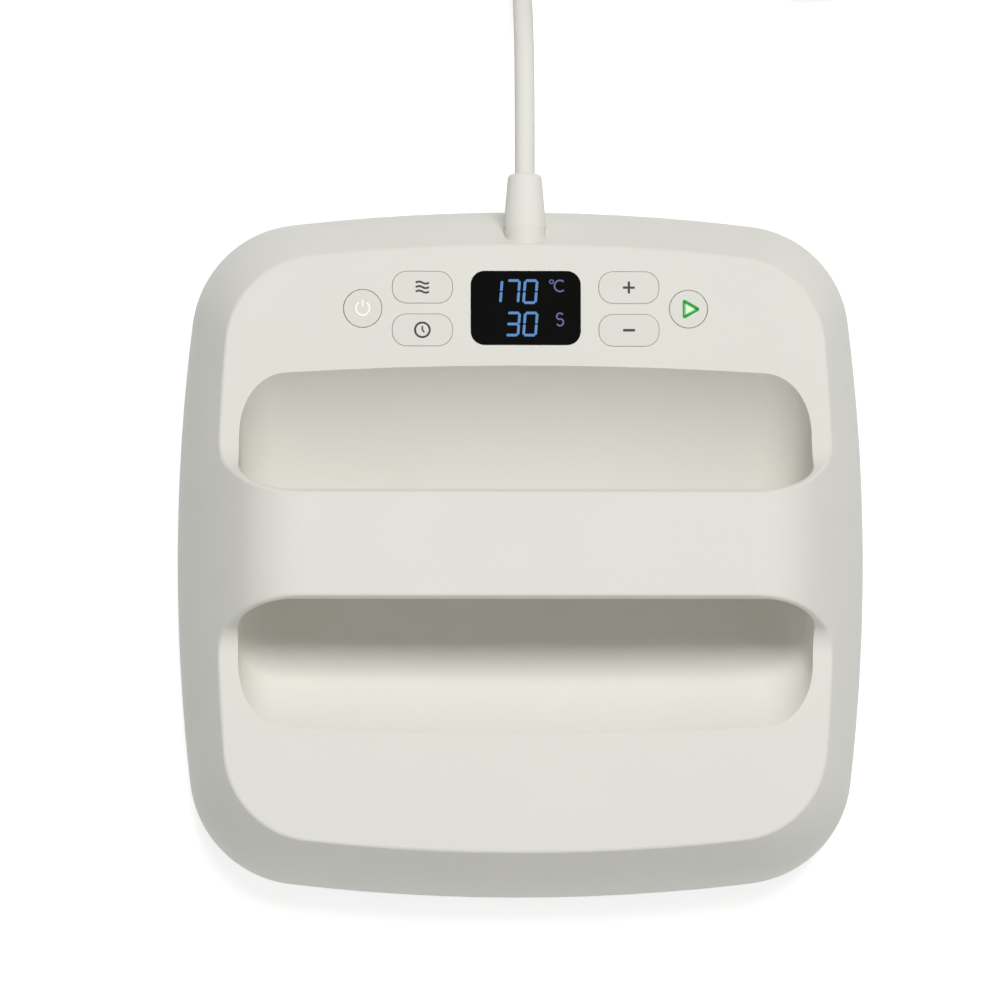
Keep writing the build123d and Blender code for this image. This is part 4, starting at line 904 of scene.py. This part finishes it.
class HEATPRESS_OT_stage(bpy.types.Operator):
    """Floor, surrounding light, soft box and camera"""

    bl_idname = "heatpress.stage"
    bl_label = "Studio"

    def execute(self, context):
        studio = context.scene.heat_press_studio
        context.scene.view_settings.view_transform = "Standard"
        self.lay_floor()
        self.light_world(context, studio.fill)
        key = area_light(
            "key_soft_box", studio.key_place, studio.key_side, studio.key_power
        )
        # The window would show the soft box as a white square
        key.visible_glossy = False
        self.place_camera(context, studio)
        return {"FINISHED"}

    def lay_floor(self):
        """White card that keeps the shadow of the press."""
        deselect_all()
        bpy.ops.mesh.primitive_plane_add(size=FLOOR_SIDE, location=(0, 0, -FLOOR_DROP))
        floor = bpy.context.object
        floor.name = "studio_floor"
        material, tree, shader = new_finish("Studio card, white", "#BDBDBB", 0.9)
        shader.inputs["Emission Color"].default_value = WHITE
        strength = add_node(
            tree,
            "ShaderNodeMath",
            {"operation": "MULTIPLY", 1: FLOOR_LIFT},
            {0: seen_directly(tree)},
        )
        tree.links.new(strength.outputs["Value"], shader.inputs["Emission Strength"])
        paint(floor, material)

    def light_world(self, context, fill):
        """Surround: bright in front, dim at the rear, stronger overhead and at the right."""
        world = context.scene.world or bpy.data.worlds.new("studio_world")
        context.scene.world = world
        world.use_nodes = True
        tree = world.node_tree
        tree.nodes.clear()
        place = add_node(tree, "ShaderNodeTexCoord")
        axes = add_node(
            tree, "ShaderNodeSeparateXYZ", {}, {"Vector": place.outputs["Generated"]}
        )
        rise = spread(tree, axes.outputs["Z"], 0.0, 0.8, 1.0)
        depth = spread(tree, axes.outputs["Y"], -1.0, 0.0, 1.0)
        ramp = add_node(tree, "ShaderNodeValToRGB", {}, {"Fac": depth})
        stops = ramp.color_ramp.elements
        stops[0].color = (FRONT_LEVEL, FRONT_LEVEL, FRONT_LEVEL, 1.0)
        stops[1].color = (REAR_LEVEL, REAR_LEVEL, REAR_LEVEL, 1.0)
        for share, grey in LEVELS_BETWEEN:
            stops.new(share).color = (grey, grey, grey, 1.0)
        side = spread(tree, axes.outputs["X"], -1.0, 1.8, 2.2)
        product = times(tree, times(tree, rise, ramp.outputs["Color"]), side)
        level = add_node(
            tree, "ShaderNodeMath", {"operation": "MULTIPLY", 1: fill}, {0: product}
        )
        soft = add_node(
            tree, "ShaderNodeBackground", {"Color": WHITE}, {"Strength": level.outputs["Value"]}
        )
        white = add_node(tree, "ShaderNodeBackground", {"Color": WHITE, "Strength": 1.0})
        path = add_node(tree, "ShaderNodeLightPath")
        mixed = add_node(
            tree,
            "ShaderNodeMixShader",
            {},
            {
                0: path.outputs["Is Camera Ray"],
                1: soft.outputs["Background"],
                2: white.outputs["Background"],
            },
        )
        add_node(tree, "ShaderNodeOutputWorld", {}, {"Surface": mixed.outputs["Shader"]})

    def place_camera(self, context, studio):
        """Camera almost straight above, a little in front and to the left."""
        camera = bpy.data.cameras.new("studio_camera")
        camera.lens = studio.lens
        camera.clip_end = CAMERA_REACH
        holder = bpy.data.objects.new("studio_camera", camera)
        context.collection.objects.link(holder)
        holder.location = studio.camera
        back = Vector((-studio.aim[0], -studio.aim[1], 1)).normalized()
        right = Vector((0, 1, 0)).cross(back).normalized()
        up = back.cross(right)
        turn = Matrix((right, up, back)).transposed()
        holder.rotation_euler = turn.to_euler()
        context.scene.camera = holder


class HEATPRESS_PT_panel(bpy.types.Panel):
    """Lists the sizes, finishes and makers of the heat press"""

    bl_label = "Heat press"
    bl_idname = "HEATPRESS_PT_panel"
    bl_space_type = "VIEW_3D"
    bl_region_type = "UI"
    bl_category = "Heat press"

    def draw(self, context):
        layout = self.layout
        for group_name in GROUPS:
            group = getattr(context.scene, group_name)
            column = layout.column()
            for name in group.__annotations__:
                column.prop(group, name)
        for operator in MAKERS:
            layout.operator(operator.bl_idname)


MAKERS = (
    HEATPRESS_OT_cord,
    HEATPRESS_OT_housing,
    HEATPRESS_OT_keys,
    HEATPRESS_OT_display,
    HEATPRESS_OT_base,
    HEATPRESS_OT_electronics,
    HEATPRESS_OT_stage,
)
GROUPS = {
    "heat_press_finish": HeatPressFinish,
    "heat_press_sizes": HeatPressSizes,
    "heat_press_studio": HeatPressStudio,
}


def register():
    """Make the classes and the scene's settings known."""
    for name, group in GROUPS.items():
        bpy.utils.register_class(group)
        setattr(bpy.types.Scene, name, PointerProperty(type=group))
    for maker in MAKERS:
        bpy.utils.register_class(maker)
    bpy.utils.register_class(HEATPRESS_PT_panel)


def unregister():
    """Take the classes and the scene's settings away again."""
    bpy.utils.unregister_class(HEATPRESS_PT_panel)
    for maker in reversed(MAKERS):
        bpy.utils.unregister_class(maker)
    for name, group in reversed(GROUPS.items()):
        delattr(bpy.types.Scene, name)
        bpy.utils.unregister_class(group)


def main():
    """Build the whole scene."""
    register()
    bpy.ops.heatpress.cord()
    bpy.ops.heatpress.housing()
    bpy.ops.heatpress.keys()
    bpy.ops.heatpress.display()
    bpy.ops.heatpress.base()
    bpy.ops.heatpress.electronics()
    bpy.ops.heatpress.stage()


if __name__ == "__main__":
    main()
